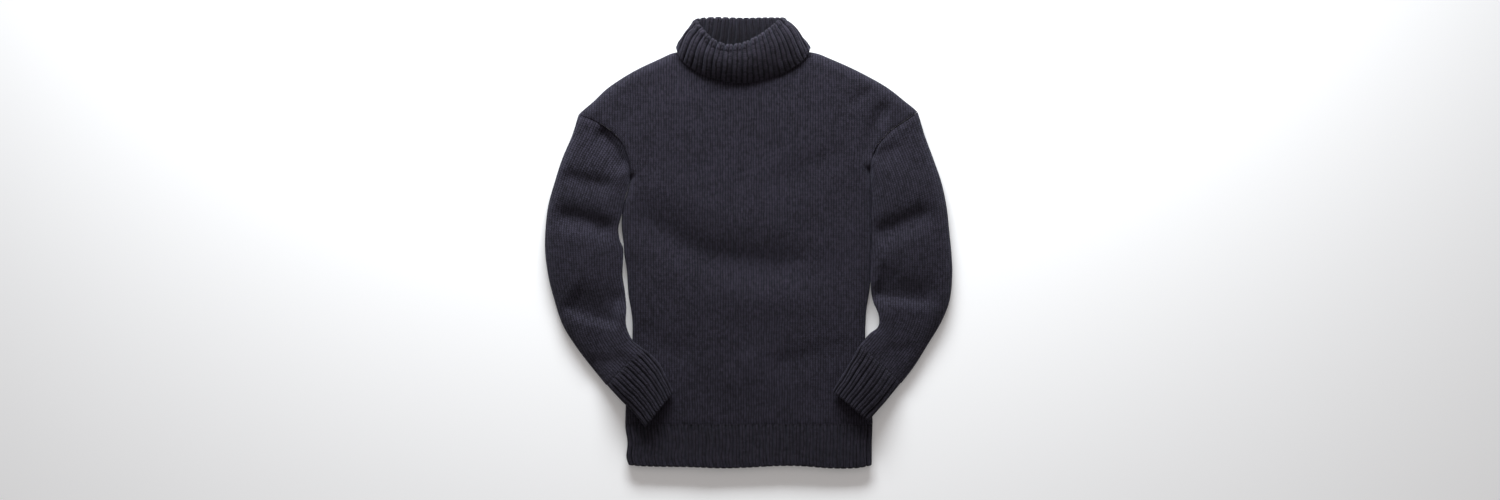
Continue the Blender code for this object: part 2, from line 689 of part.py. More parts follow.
def rest_on_front(middles, ways):
    """Raise the turned-down part of the collar where the front lies under it."""
    plain = (middles - 0.5 * RIB_WALL * ways).reshape(-1, 3)
    top = np.concatenate([dense(SHOULDER["right"]), dense(FRONT_NECK)[1:-1],
                          dense(SHOULDER["left"])[::-1]])
    edge = np.interp(plain[:, 0], top[:, 0], top[:, 1]) + COLLAR_REACH
    inside = smoothstep((edge - plain[:, 1]) / (COLLAR_REACH - 1.0))
    below = front_full(plain[:, :2]) + REST_GAP
    facing_up = ways.reshape(-1, 3)[:, 2] > 0.1
    lift = np.where(facing_up, np.clip(below - plain[:, 2], 0.0, None), 0.0) * inside
    return middles + (lift[:, None] * np.array([0.0, 0.0, 1.0])).reshape(middles.shape)


def collar():
    """The roll collar, ribbed on both sides that show."""
    fine = COLLAR_RIBS * RIB_POINTS
    grids = []
    for count in (fine, COLLAR_RIBS):
        places = np.linspace(0.0, len(COLLAR), count + 1)[:-1]
        middles, ways = collar_profile(places)
        flap = STAND_ROWS + TURN_STEPS
        middles[flap:] = rest_on_front(middles[flap:], ways[flap:])
        grids.append((middles, ways))
    middles, ways = grids[0]
    on_floor = (ways[..., 2] < 0.0) & (middles[..., 2] < SEAM_HEIGHT - 2.0)
    inside_turn = smoothstep(2.0 * np.abs(ways[..., 2]) - 0.4)
    inside_turn[STAND_ROWS + 2:] = 1.0
    relief = np.where(on_floor, 0.0, rib_wave(fine)[:, 0] + 0.5 * RIB_RELIEF) * inside_turn
    relief = relief[..., None]
    outside = middles + ways * (0.5 * RIB_WALL + relief)
    middles, ways = grids[1]
    inside = middles - ways * 0.5 * RIB_WALL
    return tube_wall("collar", outside, inside)


def main():
    for piece in list(bpy.data.objects):
        bpy.data.objects.remove(piece)
    torso_panel("front", front_surface, FRONT_NECK, FRONT_ROWS, FRONT_SPANS, 2)
    torso_panel("back", back_surface, BACK_NECK, BACK_ROWS, BACK_SPANS, 1)
    ribbed_hem("hem_rib_front", front_surface, HEM_RIBS)
    ribbed_hem("hem_rib_back", back_surface, 0)
    for hand in ("right", "left"):
        sleeve(hand)
        cuff(hand)
    collar()


main()
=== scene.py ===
import math
from collections import namedtuple

import bpy
import numpy as np
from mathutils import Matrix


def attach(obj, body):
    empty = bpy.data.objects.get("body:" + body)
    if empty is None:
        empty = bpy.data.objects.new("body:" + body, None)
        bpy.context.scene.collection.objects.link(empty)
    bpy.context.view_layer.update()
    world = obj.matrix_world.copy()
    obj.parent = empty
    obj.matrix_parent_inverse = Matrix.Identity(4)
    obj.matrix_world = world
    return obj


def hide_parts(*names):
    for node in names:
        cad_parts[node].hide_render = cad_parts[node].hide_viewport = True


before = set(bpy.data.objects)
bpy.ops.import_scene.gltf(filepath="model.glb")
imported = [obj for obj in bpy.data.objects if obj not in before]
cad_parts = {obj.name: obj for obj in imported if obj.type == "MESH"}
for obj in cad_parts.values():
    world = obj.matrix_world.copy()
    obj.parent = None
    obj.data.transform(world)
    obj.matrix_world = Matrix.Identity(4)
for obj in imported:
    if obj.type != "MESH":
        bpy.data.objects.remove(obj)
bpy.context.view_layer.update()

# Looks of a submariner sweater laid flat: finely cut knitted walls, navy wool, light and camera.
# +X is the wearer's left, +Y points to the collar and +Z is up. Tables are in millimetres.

MM = 0.001

# Driving dimensions, the same as in the solids except where a line says so
WALL = 4.0              # thick jersey
RIB_WALL = 4.2          # rib knit, between its grooves
RIB_RELIEF = 1.8        # from groove to crest
GROOVE = 0.8            # how much deeper the narrow grooves go than in the solids, as a share of that
GROOVE_WIDTH = 0.10     # of a rib
SEAM_GAP = 0.3
EDGE_RADIUS = 20.0      # how far in the rounded side folds reach, softer than in the solids
SEAM_HEIGHT = 9.5       # height of the side and shoulder seams above the floor
RIB_TOP_Y = -319.5      # where the hem rib meets the jersey
HEM_RIBS = 37           # across the front
CUFF_RIBS = 15          # all round
COLLAR_RIBS = 32        # all round
FOLD_RADIUS = 2.6       # from the middle of the collar's fold to the middle of its wall
ROLL_RADIUS = 5.2       # the same at the front, where the fold is a fat roll
ROLL_HEIGHTS = (16.0, 34.0)     # between these heights of the fold it grows fat
FLAP_BULGE = 7.0        # how far the turned-down collar bellies out, more than in the solids
BELLY_POWER = 0.7       # under 1 the belly is nearer the fold, and over 1, as in the solids, the edge
BELLY_FACES = (0.6, 0.9)        # how far up the collar faces where the belly starts and is full
CROWN = 0.10            # how much lower the front lies at the shoulder points than in the middle
SHOULDER_POINT_X = 300.0
SLEEVE_CROWN = 0.22     # how much lower a sleeve's upper side lies near its folded edges
REST_GAP = 0.6          # between the front and what lies on it
FLAP_LIFT = 5.2         # how far the collar's folded back raises the back neckline
FLAP_EDGE_Y = 315.0     # the collar's edge under the back, on the middle line
FLAP_EDGE_BEND = 0.0012  # how fast that edge rises towards the sides
FLAP_EDGE_X = -10.0     # of that middle line
FLAP_RAMP = (-18.0, -4.0)   # from that edge, where the back starts to rise and lies on the collar
COLLAR_REACH = 7.0      # how far past the neckline the front still carries the collar
FLAP_FACES_UP = 0.1     # where its turned-down part faces up more than this
ORIGIN = (-0.2, -1.3, 0.0)  # middle of the whole outline, in the frame of the tables

# Stitches
WALE = 4.5              # width of a stitch
COURSE = 3.3            # height of a stitch
WALES_IN_RIB = 2
STITCH_DEPTH = 1.6
FIBRE_DEPTH = 0.16
SEAM_DIP = 1.3          # how far the cloth sinks along a seam
SEAM_WIDTH = 4.0
HEM_SEAM = 0.6          # how deep the top of the hem rib sinks, as a share of that
HEM_SEAM_REACH = 40.0   # a sleeve less than this above the hem rib has no seam dip
RIPPLE = 0.9            # height of the cloth's slow uneven waves
BACK_RIPPLE = 0.6       # the same on the back, which they only lift
RIPPLE_SIZES = (150.0, 95.0, 60.0, 38.0)
RIPPLE_WAVES = 3        # of each size
RIPPLE_SLANT = 0.7      # below 1 the waves run more across the body than up it
EDGE_RAISE = 8.0        # how much higher a sleeve folds where it lies against the body
EDGE_RAISE_WIDTH = 14.0
EDGE_RAISE_GROWTH = 3.0     # how fast it grows down from the armhole
SLEEVE_TUCK = 1.3       # how far a sleeve starts below the front at the armhole
CUFF_TUCK = 0.9         # and a cuff below the sleeve
TUCK_START = 0.97       # share of the armhole's shape in a sleeve, above which it is tucked
ARMHOLE_SECTIONS = 2.5  # over this many sections a sleeve leaves the armhole's shape
END_SECTIONS = 2.5      # and over this many, at its other end, it takes the cuff's
OVERHANG = 1.2          # how far a sleeve's outer face reaches over the gap before the cuff
RIBS_START = 12.0       # how far from the sleeve a cuff's ribs are full
HEM_HEIGHT = 75.0       # of the hem rib
CUFF_LENGTH = 98.0
WALE_GAP = 0.08         # depth between a rib's two wales, as a share of its relief
WALE_GAP_WIDTH = 0.07   # of a rib
HEM_DRIFT = 0.05        # how far the hem's ribs stray, as a share of a rib
HEM_DRIFT_WAVE = (1.7, 5.0)     # how fast that changes from rib to rib, and up a rib
HEM_UNEVEN = 0.2        # how much their relief varies, as a share each way
HEM_UNEVEN_WAVE = (2.3, 3.0)
RIM_COURSES = 0.4       # between the rows round a free edge

# The collar's ribs
ON_FLOOR_HEIGHT = 2.0   # over this much below the seams' height, crests sink to the plain wall
ON_FLOOR_FACES = (0.5 / 1.2, -0.5 / 1.2)    # from facing up so far to facing down so far
INSIDE_RELIEF = 0.75    # of the ribs on the neck's steep sides, as a share
INSIDE_FACES = (0.2, 0.7)       # a side is steep below the first of these and flat above the second
KNOBS = 0.9             # how much further they stand out on the fold
KNOB_ROWS = 0.6         # of the fold's rows
KNOB_HEIGHTS = (16.0, 26.0)     # between these heights of the fold the knobs grow
RELIEF_SIDES = (1.2, 0.7)       # how strong they are on the wearer's right and left
RELIEF_X = (-70.0, 40.0)
THIN_ROWS = (6.0, 1.0)  # so many rows before the edge the wall starts to thin, and is thin
THIN_RELIEF = 0.6       # how much less relief that leaves
THIN_WALL = 0.2         # and how much of the wall it takes

# Outlines of the torso, seen from above
SIDE_SEAM = {
    "right": ((-206, 112), (-213, 88), (-221, 60), (-223, 30), (-219.5, -5), (-218.5, -22),
              (-214, -50), (-211, -92), (-204.5, -135), (-205, -185), (-210, -230),
              (-215, -272), (-216.5, -308), (-216.5, -326), (-213, -352), (-215, -376), (-211, -391)),
    "left": ((211, 126), (214.8, 102), (215.6, 75), (215.6, 40), (215.4, 0), (214.9, -40), (212.5, -80),
             (206, -125), (204.5, -180), (208, -230), (213, -272), (217, -308), (217, -326),
             (216, -352), (216, -376), (216, -391)),
}
ARMHOLE = {
    "right": ((-206, 112), (-209, 142), (-217, 166), (-231, 186), (-249, 201), (-271, 214),
              (-298, 224)),
    "left": ((211, 126), (214, 144), (221, 163), (233, 180), (249, 196), (272, 212), (296, 228)),
}
SHOULDER = {
    "right": ((-298, 224), (-273, 246), (-245, 272), (-201, 300), (-157, 321),
              (-133, 331.5), (-110, 334)),
    "left": ((296, 228), (275, 246), (240, 273), (189, 301), (141, 322.5), (115, 332), (84, 334)),
}
FRONT_NECK = ((-110, 334), (-103, 322), (-85, 310), (-59, 301), (-15, 296), (28, 299), (55, 306),
              (76, 318), (84, 334))
BACK_NECK = ((-110, 334), (-85, 327), (-50, 323), (-10, 322), (28, 323), (60, 327), (84, 334))
HEM_LINE = ((-211, -391), (-173, -393), (-103, -394), (-50, -396), (-7, -395), (46, -392), (90, -392),
            (142, -396), (186, -396), (216, -391))

# How high the front lies above the floor, at these places from the hem to the neck
HEIGHT_Y = (-396, -320, -200, -50, 80, 180, 250, 300, 340)
HEIGHT_Z = (18, 19, 20.5, 22, 24, 25.5, 25.5, 24.5, 24)

# A sleeve's sections, from the armhole to the cuff. The outer edge is the one away from the body.
Section = namedtuple("Section", "outer_x outer_y inner_x inner_y height")
SLEEVE = {
    "right": (
        Section(-298, 224, -206, 112, 26),
        Section(-309, 189, -210.6, 95, 27),
        Section(-327, 147, -217.7, 72, 29),
        Section(-340.5, 105, -222.4, 48, 30),
        Section(-352, 63, -228, 25, 30),
        Section(-357, 18, -225.8, 4, 30),
        Section(-357, -21, -219.4, -14, 29),
        Section(-351, -63, -221, -56, 28),
        Section(-342, -98, -217, -85, 27),
        Section(-327, -144, -214, -115, 26),
        Section(-304, -182, -214, -145, 25),
        Section(-276, -219, -203, -171, 24),
        Section(-250, -250, -186, -184, 22),
    ),
    "left": (
        Section(296, 228, 211, 126, 26),
        Section(308, 189, 213.9, 102, 27),
        Section(323.5, 147, 215.1, 76, 29),
        Section(338, 105, 215.1, 50, 30),
        Section(347, 63, 215.0, 24, 30),
        Section(352, 18, 214.9, -5, 30),
        Section(356, -24, 214.5, -36, 29),
        Section(357, -60, 213.0, -68, 28),
        Section(352.5, -102, 216.5, -100, 27),
        Section(338, -140, 227, -128, 26),
        Section(314, -180, 226, -148, 25),
        Section(291, -217, 211, -160, 24),
        Section(268, -247, 195, -178, 22),
    ),
}
CUFF = {        # each goes on from the sleeve's last section
    "right": (
        Section(-225, -275, -160, -208, 21),
        Section(-199, -301, -144, -237, 20),
        Section(-181, -323, -132, -262, 19),
    ),
    "left": (
        Section(245, -273, 178, -210, 21),
        Section(224, -296, 161, -237, 20),
        Section(210, -312, 147, -260, 19),
    ),
}
LIFT_STARTS_Y = -95     # below this the sleeves climb onto the body
LIFT_ENDS_Y = -135
SOFT_RAMP = 60.0        # how far outside the body the upper side starts to climb
HARD_RAMP = 30.0        # and the lower side
RIB_UNDER_CUFF_Y = -296.0   # below this a cuff also climbs the hem rib's crests
RIB_CLIMB = 14.0        # over this length

# The collar, every two ribs from the middle of the back round by the wearer's right: where its
# standing wall starts, where it folds over, and where the turned-down part ends
Station = namedtuple("Station", "base fold edge")
COLLAR = (
    Station((-10, 323.5, 7.2), (-10, 393.2, 5.2), (-10, 315, 2.6)),
    Station((-40, 324, 7.2), (-34, 393.7, 5.2), (-45, 316.5, 2.6)),
    Station((-69, 327, 7.2), (-60, 394.2, 5.2), (-80, 321, 2.6)),
    Station((-96, 334.5, 8.4), (-86, 392, 7.4), (-113, 333, 3.8)),
    Station((-105, 338, 15), (-92, 384.5, 19), (-126, 341, 15)),
    Station((-101, 326, 21.5), (-83, 371.5, 35), (-114, 316, 27)),
    Station((-78, 310, 22), (-66, 353, 42.5), (-84, 295.5, 28)),
    Station((-47, 301.5, 22), (-41, 342, 44.5), (-49, 284, 28)),
    Station((-14, 299, 22), (-12, 344.5, 44.5), (-12, 279, 28)),
    Station((19, 300, 22), (15, 357, 44.5), (27, 285.5, 28)),
    Station((50, 306, 22), (38, 373, 42), (64, 298.5, 28)),
    Station((76, 326, 21.5), (53, 386, 35), (95, 319, 27)),
    Station((80, 338, 15), (58.5, 391, 19), (107, 341, 15)),
    Station((71, 334.5, 8.4), (55, 393.7, 7.4), (95, 334, 3.8)),
    Station((45, 326.5, 7.2), (34, 394.2, 5.2), (62, 321, 2.6)),
    Station((18, 324, 7.2), (12, 393.7, 5.2), (27, 316.5, 2.6)),
)

# Folds: a line through three places, its width towards the collar and towards the hem, and how
# far the cloth rises along it, or sinks where the number is negative
Fold = namedtuple("Fold", "start middle end upper lower rise")
FRONT_FOLDS = (
    Fold((-196, 84), (-78, -22), (150, -30), 27, 36, -9.0),
    Fold((-180, 130), (-60, 52), (110, 28), 46, 26, 3.0),
    Fold((20, 96), (100, 128), (186, 172), 20, 26, -2.8),
    Fold((168, 240), (192, 252), (224, 272), 9, 12, -3.0),
    Fold((248, 246), (217, 196), (212, 136), 12, 14, -6.0),
    Fold((-60, -110), (60, -104), (168, -112), 34, 26, 2.4),
    Fold((30, -210), (107, -198), (186, -168), 16, 28, -3.6),
    Fold((-196, -140), (-150, -176), (-90, -200), 20, 28, -3.6),
    Fold((-40, -262), (-14, -226), (14, -186), 22, 22, 2.4),
)
SLEEVE_FOLDS = {
    "right": (
        Fold((-270, 198), (-238, 172), (-213, 118), 10, 24, -11.0),
        Fold((-330, 120), (-285, 105), (-232, 100), 15, 18, -8.0),
        Fold((-344, 44), (-290, 37), (-230, 10), 20, 20, -12.0),
        Fold((-326, -106), (-275, -128), (-220, -140), 42, 12, -14.0),
        Fold((-280, -204), (-244, -208), (-212, -192), 12, 16, -3.0),
    ),
    "left": (
        Fold((214, 148), (238, 156), (268, 168), 12, 18, -4.5),
        Fold((216, 8), (262, 28), (328, 58), 20, 22, -11.0),
        Fold((226, -44), (240, -54), (262, -66), 14, 16, -2.5),
        Fold((216, -84), (262, -95), (338, -103), 34, 12, -12.5),
        Fold((232, -186), (262, -190), (294, -180), 12, 16, -2.6),
    ),
}

# What a piece was cut to before it was sewn: width, all round on a tube, and length in
# millimetres, the area in square metres where it isn't their product, and what it lies on. No piece is
# given one here.
Cut = namedtuple("Cut", "width length area rests_on")

# The wool: a stitch is the crown of a wale with two slanting strands on it
WOOL_SHADER = {
    "Metallic": 0.0,
    "Specular IOR Level": 0.15,
    "Sheen Weight": 0.10,
    "Sheen Roughness": 0.45,
    "Sheen Tint": (0.55, 0.56, 0.78, 1.0),
}
# The colour where the tone runs out: painted shade in the gaps between stitches, in a rib's grooves and
# down in the neck, and the dark end of the wool's own tone
WOOL_DARK_AND_SHADE = (0.003, 0.0025, 0.0038, 1.0)
JERSEY_LIGHT = (0.040, 0.0355, 0.055, 1.0)
# Painted shade: the rib and the collar are the same wool as the jersey, with colours set darker than
# its
RIB_LIGHT = (0.034, 0.030, 0.045, 1.0)
COLLAR_LIGHT = (0.036, 0.0315, 0.047, 1.0)
WOOL_ROUGH = 0.84
SOFT_DETAIL = 2.0       # of all noises but the fibres'
STITCH_WOBBLE = ((34.0, 0.9), (27.0, 1.6))      # across and up: each noise's scale, and stitches
STRAND_SLANT = 0.85     # courses that a strand falls from the middle of a wale to its side
STRAND_POWER = 0.6      # lower makes a strand flatter across the wale
LOOP_POWER = 2.4        # higher makes the dark gap between two stitches narrower
LOOP_SHARE = 0.4        # how much of the crown dips there
CROWN_POWER = 1.4       # higher makes the crown narrower
CROWN_SHARE = 0.55      # the crown's part of a stitch, and the rest is the strands'
GAP_SHADE_POWER = 1.8        # higher makes the painted shade in the gaps between stitches darker
TONE_GAIN = 1.2
STITCH_VARIES = 0.4     # tone from stitch to stitch
TONE_NOISES = ((9.0, 0.3), (220.0, 0.8))        # patches and yarn: scale and amount
FIBRE_SCALE = 900.0
FIBRE_DETAIL = 3.0
FIBRE_GRAIN = 0.7
NAP_STRENGTH = 0.8
FIBRES_VARY = 0.9       # tone
FIBRES_ROUGH = 0.14     # roughness
CREST_PAINTED_LIGHT = 0.2       # how much brighter a rib's crest is painted, as painted light, beside the painted shade in its groove
NECK_SHADE_COURSES = (6.0, 23.0)      # painted shade down in the neck: painted dark up to the first, and unshaded from the second
NECK_GROOVE_SHADE = 0.7      # how much deeper the painted shade in the grooves is where the neck is painted dark

# Floor, lights and camera, in metres
FLOOR_HALF = 12.0
FLOOR_DROP = 0.0004     # below the cloth, so that the two don't coincide
FLOOR_SHADER = {
    "Base Color": (0.88, 0.88, 0.89, 1.0),
    "Roughness": 0.9,
    "Specular IOR Level": 0.1,
    "Emission Color": (1.0, 1.0, 1.0, 1.0),
    "Emission Strength": 0.12,
}
SKY_COLOUR = (1.0, 0.94, 0.91, 1.0)
SKY_STRENGTH = 0.22
LIGHTS_AIM = (0.0, 0.1, 0.0)
Lamp = namedtuple("Lamp", "name place width depth power colour")
LAMPS = (
    Lamp("key", (-0.1, 1.7, 0.84), 1.5, 0.5, 78.0, (0.93, 0.975, 1.0)),
    Lamp("fill", (0.0, 0.5, 2.6), 2.4, 2.4, 9.0, (1.0, 0.93, 0.9)),
)
PHOTO_WIDTH = 1500      # pixels
PHOTO_SCALE = 1.75      # millimetres to a pixel
CAMERA_X, CAMERA_Y = 0.0024, -0.0127
CAMERA_HEIGHT = 4.0     # above the cloth
CLOTH_HEIGHT = 0.02     # above the floor, in the middle of its thickness
SENSOR_WIDTH = 36.0

# Each set of slow waves has its own start
FRONT_WAVES, SLEEVE_WAVES, BACK_WAVES = 5, 7, 11

# How finely the walls are cut
CURVE_STEPS = 12                    # for each row of a table
FOLD_SPANS = 16
FOLD_ENDS = 0.15                    # how far on its way from none to full a fold is at its ends
FOLD_GROWTH = 4.0                   # and how fast it goes on from there
EDGE_SAMPLES = 12                   # round a folded edge
FRONT_BODY_ROWS = 150
FRONT_ARMHOLE_ROWS = 56
FRONT_COLUMNS = 190
BACK_COARSER = 2                    # the hidden back takes one step for each two of the front
INSIDE_COARSER = 4                  # and the insides one for each four
SLEEVE_ROWS = 190
SLEEVE_SAMPLES = 64
CUFF_ROWS = 34
HEM_ROWS = 34
RIB_STEPS = 12                      # across one rib
PLAIN_SAMPLES = 60
STAND_ROWS = 22
TURN_STEPS = 14
FLAP_ROWS = 28
RIM_STEPS = 4                       # round a free edge
MERGE_STEPS = 1e7                   # to a metre; points that round to the same step are one
SHARP_ANGLE = 55.0                  # degrees between faces, at the cut edges along the seams
SLEEVE_ROWS_IN_TORSO_EDGE = 3       # a torso's outer edge runs on so far down the sleeve
SHOULDER_ROWS_IN_SLEEVE_EDGE = 4    # and a sleeve's starts so far up the shoulder
ROW_STEP = 0.01                     # of a table's row, to find which way a line runs


def smoothstep(value):
    value = np.clip(value, 0.0, 1.0)
    return value * value * (3.0 - 2.0 * value)


def ramp_up(value, span):
    """0 up to the start of the span, 1 from its end, and smooth between."""
    return smoothstep((value - span[0]) / (span[1] - span[0]))


def blend(first, second, share):
    return first + (second - first) * share


def unit(vectors):
    return vectors / np.maximum(np.linalg.norm(vectors, axis=-1, keepdims=True), 1e-9)


def spline(rows, places, closed=False):
    """Points on a smooth line through the rows of a table; place 1.5 is half way from row 1 to 2."""
    rows = np.asarray(rows, float)
    count = len(rows)
    places = np.asarray(places, float)
    first = np.floor(places).astype(int)
    if not closed:
        first = np.clip(first, 0, count - 2)
    part = (places - first).reshape(places.shape + (1,) * (rows.ndim - 1))

    def row(index):
        if closed:
            return rows[index % count]
        before = 2.0 * rows[0] - rows[1]
        after = 2.0 * rows[-1] - rows[-2]
        return np.concatenate([[before], rows, [after]])[np.clip(index + 1, 0, count + 1)]

    a, b, c, d = (row(first + shift) for shift in (-1, 0, 1, 2))
    cubic = 3.0 * (b - c) + d - a
    square = 2.0 * a - 5.0 * b + 4.0 * c - d
    return b + 0.5 * part * ((c - a) + part * (square + part * cubic))


def dense(rows):
    """A table's smooth line as many short steps."""
    spans = len(rows) - 1
    return spline(rows, np.linspace(0.0, spans, spans * CURVE_STEPS + 1))


def lengths(line):
    steps = np.linalg.norm(np.diff(line, axis=0), axis=1)
    return np.concatenate([[0.0], np.cumsum(steps)])


def resample(line, distances, *others):
    """The places at the given distances along a line, with other values carried along it."""
    along = lengths(line)
    results = []
    for values in (line,) + others:
        columns = [np.interp(distances, along, values[:, k]) for k in range(values.shape[1])]
        results.append(np.stack(columns, axis=1))
    return results if others else results[0]


def nearest(path, places):
    """Distance from each place to a path, and where on the path that is."""
    start = path[:-1]
    step = np.diff(path, axis=0)
    gap = places[:, None, :] - start[None]
    along = np.clip((gap * step).sum(-1) / (step * step).sum(-1), 0.0, 1.0)
    off = gap - along[..., None] * step
    size = np.hypot(off[..., 0], off[..., 1])
    best = size.argmin(axis=1)
    rows = np.arange(len(places))
    return size[rows, best], best + along[rows, best]


def fold_rise(folds, places):
    """How far a set of folds moves the cloth up at each place."""
    total = np.zeros(len(places))
    for fold in folds:
        share = np.linspace(0.0, 1.0, FOLD_SPANS + 1)[:, None]
        start, middle, end = (np.array(place, float) for place in (fold.start, fold.middle, fold.end))
        control = 2.0 * middle - 0.5 * (start + end)
        path = (1 - share) ** 2 * start + 2 * share * (1 - share) * control + share ** 2 * end
        distance, where = nearest(path, places)
        steps = np.arange(FOLD_SPANS + 1)
        foot = np.stack([np.interp(where, steps, path[:, k]) for k in (0, 1)], axis=1)
        width = np.where(places[:, 1] > foot[:, 1], fold.upper, fold.lower)
        from_end = np.minimum(where, FOLD_SPANS - where) / FOLD_SPANS
        fade = smoothstep(FOLD_GROWTH * from_end + FOLD_ENDS)
        total += fold.rise * np.exp(-(distance / width) ** 2) * fade
    return total


class Outline:
    """An edge where the cloth folds round to the other side, with the way out at each place."""

    def __init__(self, rows, outward_at_start=None, turn=1.0):
        self.path = dense(rows)
        step = unit(np.gradient(self.path, axis=0))
        self.outward = turn * np.stack([step[:, 1], -step[:, 0]], axis=1)
        if outward_at_start is not None:
            self.outward[0] = outward_at_start

    def at(self, places):
        distance, where = nearest(self.path, places)
        rows = np.arange(len(self.path))
        outward = [np.interp(where, rows, self.outward[:, k]) for k in (0, 1)]
        return distance, unit(np.stack(outward, axis=1))


def edges_of(hand):
    """The folded edges beside one hand's armhole: those of the torso and those of the sleeve."""
    turn = 1.0 if hand == "right" else -1.0
    down_groove = (0.0, -1.0)
    outer = [(s.outer_x, s.outer_y) for s in SLEEVE[hand] + CUFF[hand]]
    inner = [(s.inner_x, s.inner_y) for s in SLEEVE[hand] + CUFF[hand]]
    over = SHOULDER[hand][::-1] + tuple(outer[1:])
    shoulder_rows = len(SHOULDER[hand])
    torso = (Outline(over[:shoulder_rows + SLEEVE_ROWS_IN_TORSO_EDGE], turn=turn),
             Outline(SIDE_SEAM[hand], down_groove, turn))
    sleeve = (Outline(over[shoulder_rows - SHOULDER_ROWS_IN_SLEEVE_EDGE:], turn=turn),
              Outline(inner, down_groove, -turn))
    return torso, sleeve


def turn_at(edges, places):
    """Cosine and sine of the wall's turn round the nearest edge, and the way out there."""
    found = [edge.at(places) for edge in edges]
    distances = np.stack([distance for distance, _ in found])
    ways = np.stack([way for _, way in found])
    best = distances.argmin(axis=0)
    rows = np.arange(len(places))
    cosine = 1.0 - np.clip(distances[best, rows] / EDGE_RADIUS, 0.0, 1.0)
    return cosine, np.sqrt(1.0 - cosine ** 2), ways[best, rows]


def direction(way, cosine, upward):
    return np.concatenate([way * cosine[:, None], upward[:, None]], axis=1)


EDGES = {hand: edges_of(hand) for hand in ("right", "left")}
TORSO_EDGES = EDGES["right"][0] + EDGES["left"][0]
ARMHOLE_LINES = {hand: dense(ARMHOLE[hand]) for hand in ("right", "left")}
SIDES_UP = {hand: dense(SIDE_SEAM[hand])[::-1] for hand in ("right", "left")}


def top_edge(neck_rows):
    """The shoulders and a neckline, from the wearer's right to the left."""
    neck = dense(neck_rows)
    return np.concatenate([dense(SHOULDER["right"]), neck[1:-1], dense(SHOULDER["left"])[::-1]])


def ripple(places, seed):
    """Slow uneven waves of the cloth, from about -1 to 1, the same on each run."""
    random = np.random.default_rng(seed)
    total = np.zeros(len(places))
    weight = 0.0
    for size in RIPPLE_SIZES:
        for _ in range(RIPPLE_WAVES):
            angle, phase = random.uniform(0.0, 2.0 * math.pi, 2)
            wave = 2.0 * math.pi / size
            along = places[:, 0] * math.cos(angle) * RIPPLE_SLANT + places[:, 1] * math.sin(angle)
            total += size * np.sin(wave * along + phase)
            weight += size
    return total * 2.0 / weight


def seam_dip(places):
    """How far the cloth sinks along the armhole seams and the top of the hem rib."""
    dip = np.exp(-((places[:, 1] - RIB_TOP_Y) / SEAM_WIDTH) ** 2) * HEM_SEAM
    for hand in ("right", "left"):
        distance = nearest(ARMHOLE_LINES[hand], places)[0]
        dip = np.maximum(dip, np.exp(-(distance / SEAM_WIDTH) ** 2))
    return SEAM_DIP * dip


def front_full(places):
    """Height of the front above the floor away from its edges."""
    height = np.interp(places[:, 1], HEIGHT_Y, HEIGHT_Z)
    height = height * (1.0 - CROWN * (places[:, 0] / SHOULDER_POINT_X) ** 2)
    return height + fold_rise(FRONT_FOLDS, places)


def front_surface(places):
    """Outer face of the front at each place, and the way out of its wall."""
    cosine, sine, way = turn_at(TORSO_EDGES, places)
    full = front_full(places) + RIPPLE * ripple(places, FRONT_WAVES) - seam_dip(places)
    height = SEAM_HEIGHT + (full - SEAM_HEIGHT) * sine + 0.5 * SEAM_GAP * cosine
    return np.column_stack([places, height]), direction(way, cosine, sine)


def back_surface(places):
    """Outer face of the back, which lies on the floor and on the collar's folded edge."""
    cosine, sine, way = turn_at(TORSO_EDGES, places)
    flap_edge = FLAP_EDGE_Y + FLAP_EDGE_BEND * (places[:, 0] - FLAP_EDGE_X) ** 2
    base = FLAP_LIFT * ramp_up(places[:, 1] - flap_edge, FLAP_RAMP)
    base = base + 0.5 * seam_dip(places) + BACK_RIPPLE * np.clip(ripple(places, BACK_WAVES), 0.0, 1.0)
    height = SEAM_HEIGHT - (SEAM_HEIGHT - base) * sine - 0.5 * SEAM_GAP * cosine
    return np.column_stack([places, height]), direction(way, cosine, -sine)


def body_lift(places, ramp):
    """How far the body under a sleeve lifts it, starting a ramp's length outside the body."""
    right, left = SIDES_UP["right"], SIDES_UP["left"]
    x, y = places[:, 0], places[:, 1]
    inside = np.minimum(x - np.interp(y, right[:, 1], right[:, 0]),
                        np.interp(y, left[:, 1], left[:, 0]) - x)
    onto = smoothstep((LIFT_STARTS_Y - y) / (LIFT_STARTS_Y - LIFT_ENDS_Y))
    rib = RIB_RELIEF * 0.5 * smoothstep((RIB_UNDER_CUFF_Y - y) / RIB_CLIMB)
    return onto * (front_full(places) + rib + REST_GAP) * smoothstep(inside / ramp + 1.0)


